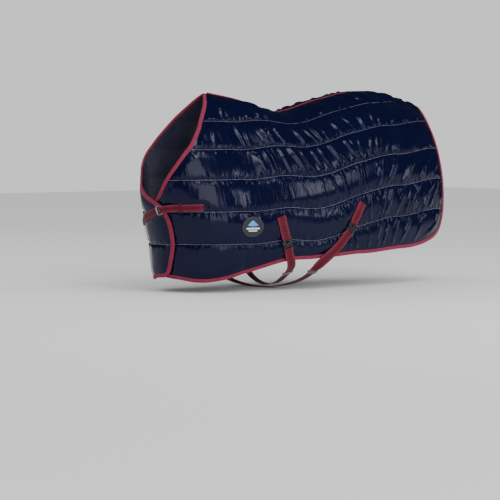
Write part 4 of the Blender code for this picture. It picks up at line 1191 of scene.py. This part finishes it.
half = strap["width"] / 2
lanes = lanesFor(half)
rows = []
for word, shape in surcingles.items():
    track, length = tracks[word], shape["chape"]
    plate = track.frame(length)
    low, high, thick = strap["low"], strap["high"], strap["thick"]
    lowRows = turned([track.row(s, low, lanes) for s in np.linspace(0, length - 0.016, 18)])
    eye = loopRows(plate, -0.00175, strap["barHeight"], 0.0036, -math.pi * 0.60, math.pi * 0.60, 14, lanes)
    highRows = [track.row(s, high - 0.0004, lanes) for s in np.linspace(length - 0.016, 0.001, 18)]
    ribbon(word + "Chape", lowRows + eye + highRows, lanes, [word + "_surcingle_chape"])
    top = high + thick / 2 + 0.0001 - 0.0004
    rows += boxStitch(track, 0.006, 0.040, half - 0.005, top)
    rows += boxStitch(track, length - 0.030, length - 0.0165, half - 0.004, top, False)
    bar = strap["barFromEnd"]
    start, fold = length + bar + 0.016, length + bar + shape["folded"]
    stations = turned([track.row(s, low, lanes) for s in np.linspace(fold, start, 22)])
    stations += loopRows(plate, bar, strap["barHeight"], 0.0042, -math.pi * 0.45, -math.pi * 1.55, 14, lanes)
    stations += [track.row(s, high, lanes) for s in np.linspace(start, track.length, 150)]
    ribbon(word + "Strap", stations, lanes, [word + "_surcingle_strap"])
    end = track.length
    rows += boxStitch(track, end - 0.040, end - 0.006, half - 0.005, high + thick / 2 + 0.0001)
    copied(word + "SlotPlate", word + "_slot_plate", "blacked", word + "_plate", 0.0004)
    copied(word + "Hook", word + "_t_hook", "plastic", word + "_hook", 0.0004)
    copied(word + "Slider", word + "_slider", "metal", word + "_slide", 0.0003)

# chest fastening
half = chest["half"]
lanes = lanesFor(half, (-0.0034, 0.0034))
slotLane = lanes.index(-0.0034)
slots = range(slotLane, lanes.index(0.0034))
lowEnd = heelAt - 0.016
chapeRows = turned([chestTrack.row(s, strap["low"], lanes) for s in np.linspace(0, lowEnd, 29)])
slotFrom = len(chapeRows) - 1
chapeRows += loopRows(heel, 0.0, chest["barLift"], 0.0035, -math.pi * 0.60, math.pi * 0.60, 12, lanes)
slotTo = len(chapeRows)
chapeRows += [chestTrack.row(s, strap["high"], lanes) for s in np.linspace(lowEnd, lowEnd * 4 / 14, 21)]
holes = [(i, k) for i in range(slotFrom, slotTo) for k in slots]
ribbon("chestChape", chapeRows, lanes, ["chest_chape"], holes=holes)
overlay = strap["high"] + strap["thick"] + 0.0004
tip = [chestTrack.row(lowEnd * k / 28, overlay, lanes) for k in range(10, 27)]
rise = [(-0.0195, -0.0015), (-0.0150, 0.0028), (-0.0105, 0.0058), (-0.0060, 0.0066), (0.0, 0.0068),
        (0.0035, 0.0065), (0.0080, 0.0052), (0.0135, 0.0016), (0.0180, -0.0018), (0.0220, -0.0040),
        (0.0262, -0.0052), (0.0320, -0.0060)]
billetRows = list(tip)
for (y0, z0), (y1, z1), (y2, z2) in zip([(-0.03, -0.006)] + rise, rise, rise[1:] + [(0.04, -0.0061)]):
    billetRows.append(localRow(heel, y1, chest["barLift"] + z1, math.atan2(-(z2 - z0), y2 - y0), lanes))
holeFrom = len(tip) + 4
billetRows += [chestTrack.row(s, 0.0012, lanes) for s in np.linspace(heelAt + 0.042, chestTrack.length, 12)]
holes = [(holeFrom + i, k) for i in range(3) for k in slots] + [(5, k) for k in slots]
ribbon("chestBillet", billetRows, lanes, ["chest_billet"], holes=holes)
rows += boxStitch(chestTrack, 0.004, 0.018, half - 0.003, strap["low"] + strap["thick"] / 2 + 0.0001)
end = chestTrack.length
rows += boxStitch(chestTrack, end - 0.034, end - 0.005, half - 0.004, 0.0012 + 0.0010)
stitches("webbingStitches", rows, threads["webbing"][0], "redThread")
copied("chestFrame", "chest_buckle_frame", "metal", "chest_buckle", 0)
copied("chestProng", "chest_buckle_prong", "metal", "chest_prong", 0)
copied("chestRoller", "chest_buckle_roller", "metal", "chest_roller", 0.0002)
keeper = copied("chestKeeper", "chest_keeper", "webbing", "rug", 0.0002)
keeperUv = keeper.data.uv_layers.new(name="weave")
for loopCorner in keeper.data.loops:
    spot = keeper.data.vertices[loopCorner.vertex_index].co
    keeperUv.data[loopCorner.index].uv = (spot.y, spot.z)
print("webbing and hardware made")

# badge: a woven oval with a made-up diamond and two lines
turns = np.linspace(0, 2 * math.pi, 64, endpoint=False)
centreP, centreQ = np.array([badge["p"]]), np.array([badge["q"]])
aheadDir = place(centreP + 0.01, centreQ, 0, -1) - place(centreP, centreQ, 0, -1)
downDir = place(centreP, centreQ + 0.01, 0, -1) - place(centreP, centreQ, 0, -1)
aheadDir, downDir = aheadDir / np.linalg.norm(aheadDir), downDir / np.linalg.norm(downDir)


def onBadge(u, v, height):
    move = aheadDir * (np.asarray(u)[:, None] * badge["long"])
    move = move + downDir * (np.asarray(v)[:, None] * badge["tall"])
    p, q = shifted(np.full(len(move), badge["p"]), np.full(len(move), badge["q"]), move)
    return place(p, q, badge["base"] + height, -1)


def badgePlate(name, shape, low, high, finish, nodes=()):
    # a raised flat shape from its outline in badge units
    u, v = np.array(shape, float).T
    mid = np.array([u.mean()]), np.array([v.mean()])
    rings = [(1.0, low), (1.0, high - 0.0002), (0.985, high), (0.75, high + 0.0001), (0.4, high + 0.0002)]
    points, count = [], len(u)
    for share, height in rings:
        points.append(onBadge(mid[0] + (u - mid[0]) * share, mid[1] + (v - mid[1]) * share, height))
    points.append(onBadge(*mid, high + 0.0002))
    points.append(onBadge(*mid, low))
    faces = []
    for ring in range(len(rings) - 1):
        for k in range(count):
            n = (k + 1) % count
            faces.append((ring * count + k, ring * count + n, (ring + 1) * count + n, (ring + 1) * count + k))
    last, top = (len(rings) - 1) * count, len(rings) * count
    for k in range(count):
        n = (k + 1) % count
        faces += [(last + k, last + n, top), (n, k, top + 1)]
    made = piece(name, np.vstack(points), faces, finish, "rug", nodes)
    faceOut(made)
    made.data.set_sharp_from_angle(angle=math.radians(50))
    return made


def clothBadge(name, dark, light):
    finish = Finish(name, {"Sheen Weight": 0.2})
    where = finish.thing()
    rib = finish.node("ShaderNodeTexWave", {"bands_direction": "Z"}, {"Vector": where, "Scale": 300.0})
    finish.set("Base Color", finish.mix(rib * 0.5 + finish.noise(where, 120.0) * 0.5, dark, light))
    finish.set("Roughness", rib * 0.1 + 0.45)
    finish.set("Normal", finish.bump(rib, 0.5, 0.0002))
    return finish.material


finishes["badgeField"] = clothBadge("badgeField", (0.002, 0.0022, 0.003), (0.005, 0.0055, 0.007))
finishes["badgeBlue"] = clothBadge("badgeBlue", (0.030, 0.20, 0.52), (0.06, 0.34, 0.75))
finishes["badgeWhite"] = clothBadge("badgeWhite", (0.62, 0.66, 0.70), (0.85, 0.87, 0.90))
ring = np.stack([np.cos(turns), np.sin(turns)], 1)
badgePlate("badgeOval", ring, 0.0, badge["thick"], "badgeField",
           ["shoulder_badge"])
diamond = [(0, -0.66), (0.26, -0.42), (0.52, -0.16), (0.26, -0.10), (0, -0.07), (-0.26, -0.10),
           (-0.52, -0.16), (-0.26, -0.42)]
badgePlate("badgeDiamond", diamond, badge["thick"] - 0.0002, badge["thick"] + 0.0005, "badgeBlue")
for number, (middle, wide, tall) in enumerate(((0.14, 0.62, 0.075), (0.38, 0.42, 0.05))):
    bar = [(-wide, middle - tall), (0, middle - tall), (wide, middle - tall), (wide, middle + tall),
           (0, middle + tall), (-wide, middle + tall)]
    badgePlate(f"badgeBar{number + 1}", bar, badge["thick"] - 0.0002, badge["thick"] + 0.0004, "badgeWhite")
spots = onBadge(ring[:, 0] * 0.955, ring[:, 1] * 0.955, badge["thick"] + 0.0002)
spots = np.vstack([spots, spots[:1]])
outs = np.repeat(facing(centreP, centreQ), len(spots), 0)
around = rowAlong(spots, outs, threads["badge"][1])
around[:, 3:6] = np.cross(around[:, 6:9], around[:, 3:6])  # the threads lie across the rim
finishes["badgeThread"] = threadFinish("badgeThread", (0.012, 0.013, 0.018), (0.03, 0.033, 0.045))
stitches("badgeRim", [around], threads["badge"][0], "badgeThread")
print("badge made")

# floor, light and camera
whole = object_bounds()
floorMesh = bpy.data.meshes.new("floor")
floorZ = whole[0][2] - 0.0005
corners = [(14 * x, 14 * y, floorZ) for x, y in ((-1, -1), (1, -1), (1, 1), (-1, 1))]
floorMesh.from_pydata(corners, [], [(0, 1, 2, 3)])
floor = bpy.data.objects.new("floor", floorMesh)
scene.collection.objects.link(floor)
floorFinish = Finish("floorPaint", {"Base Color": (0.80, 0.80, 0.80), "Roughness": 0.75,
                                    "Specular IOR Level": 0.2})
floorMesh.materials.append(floorFinish.material)

lights = [
    # name, where, aimed at, width, height, power, colour
    ("shoulder", (-3.9, -11.6, 3.6), (-0.5, 0, -0.3), 7.6, 8.4, 800, (1.0, 0.99, 1.0)),
    ("folds", (-0.5, -2.9, 3.1), (-0.1, 0, -0.2), 1.7, 1.1, 60, (0.96, 0.97, 1.0)),
    ("flank", (2.9, -4.8, 1.3), (0.4, 0, -0.3), 1.0, 2.2, 60, (0.96, 0.97, 1.0)),
    ("back", (-1.5, 4.6, 2.7), (0.1, 0, -0.3), 1.8, 1.4, 45, (1.0, 1.0, 1.0)),
]


def turnedTo(where, aim):
    where, aim = Vector(where), Vector(aim)
    return Matrix.Translation(where) @ (aim - where).to_track_quat("-Z", "Y").to_matrix().to_4x4()


for name, where, aim, wide, tall, power, colour in lights:
    data = bpy.data.lights.new(name, "AREA")
    data.shape, data.size, data.size_y, data.energy, data.color = "RECTANGLE", wide, tall, power, colour
    lamp = bpy.data.objects.new(name, data)
    lamp.matrix_world = turnedTo(where, aim)
    scene.collection.objects.link(lamp)

# the room glows softly, and is dark in reflections so that only the lights show in the nylon
glow = {"plain": ((0.97, 0.98, 1.0, 1), 0.92), "mirrored": ((0.95, 0.96, 1.0, 1), 0.035)}
world = bpy.data.worlds.new("studio")
world.use_nodes = True
sky = world.node_tree
ray, plain = sky.nodes.new("ShaderNodeLightPath"), sky.nodes["Background"]
mirrored, blend = sky.nodes.new("ShaderNodeBackground"), sky.nodes.new("ShaderNodeMixShader")
for node, word in ((plain, "plain"), (mirrored, "mirrored")):
    node.inputs["Color"].default_value, node.inputs["Strength"].default_value = glow[word]
sky.links.new(ray.outputs["Is Glossy Ray"], blend.inputs[0])
sky.links.new(plain.outputs[0], blend.inputs[1])
sky.links.new(mirrored.outputs[0], blend.inputs[2])
sky.links.new(blend.outputs[0], sky.nodes["World Output"].inputs[0])
scene.world = world

shot = {"eye": (-7.402, -8.46, -0.062), "aim": (0.019, 0.172, -0.652), "lens": 170, "sensor": 36}
cameraData = bpy.data.cameras.new("camera")
cameraData.lens, cameraData.sensor_width, cameraData.clip_end = shot["lens"], shot["sensor"], 100
camera = bpy.data.objects.new("camera", cameraData)
camera.matrix_world = turnedTo(shot["eye"], shot["aim"])
scene.collection.objects.link(camera)
scene.camera = camera

print("scene ready")
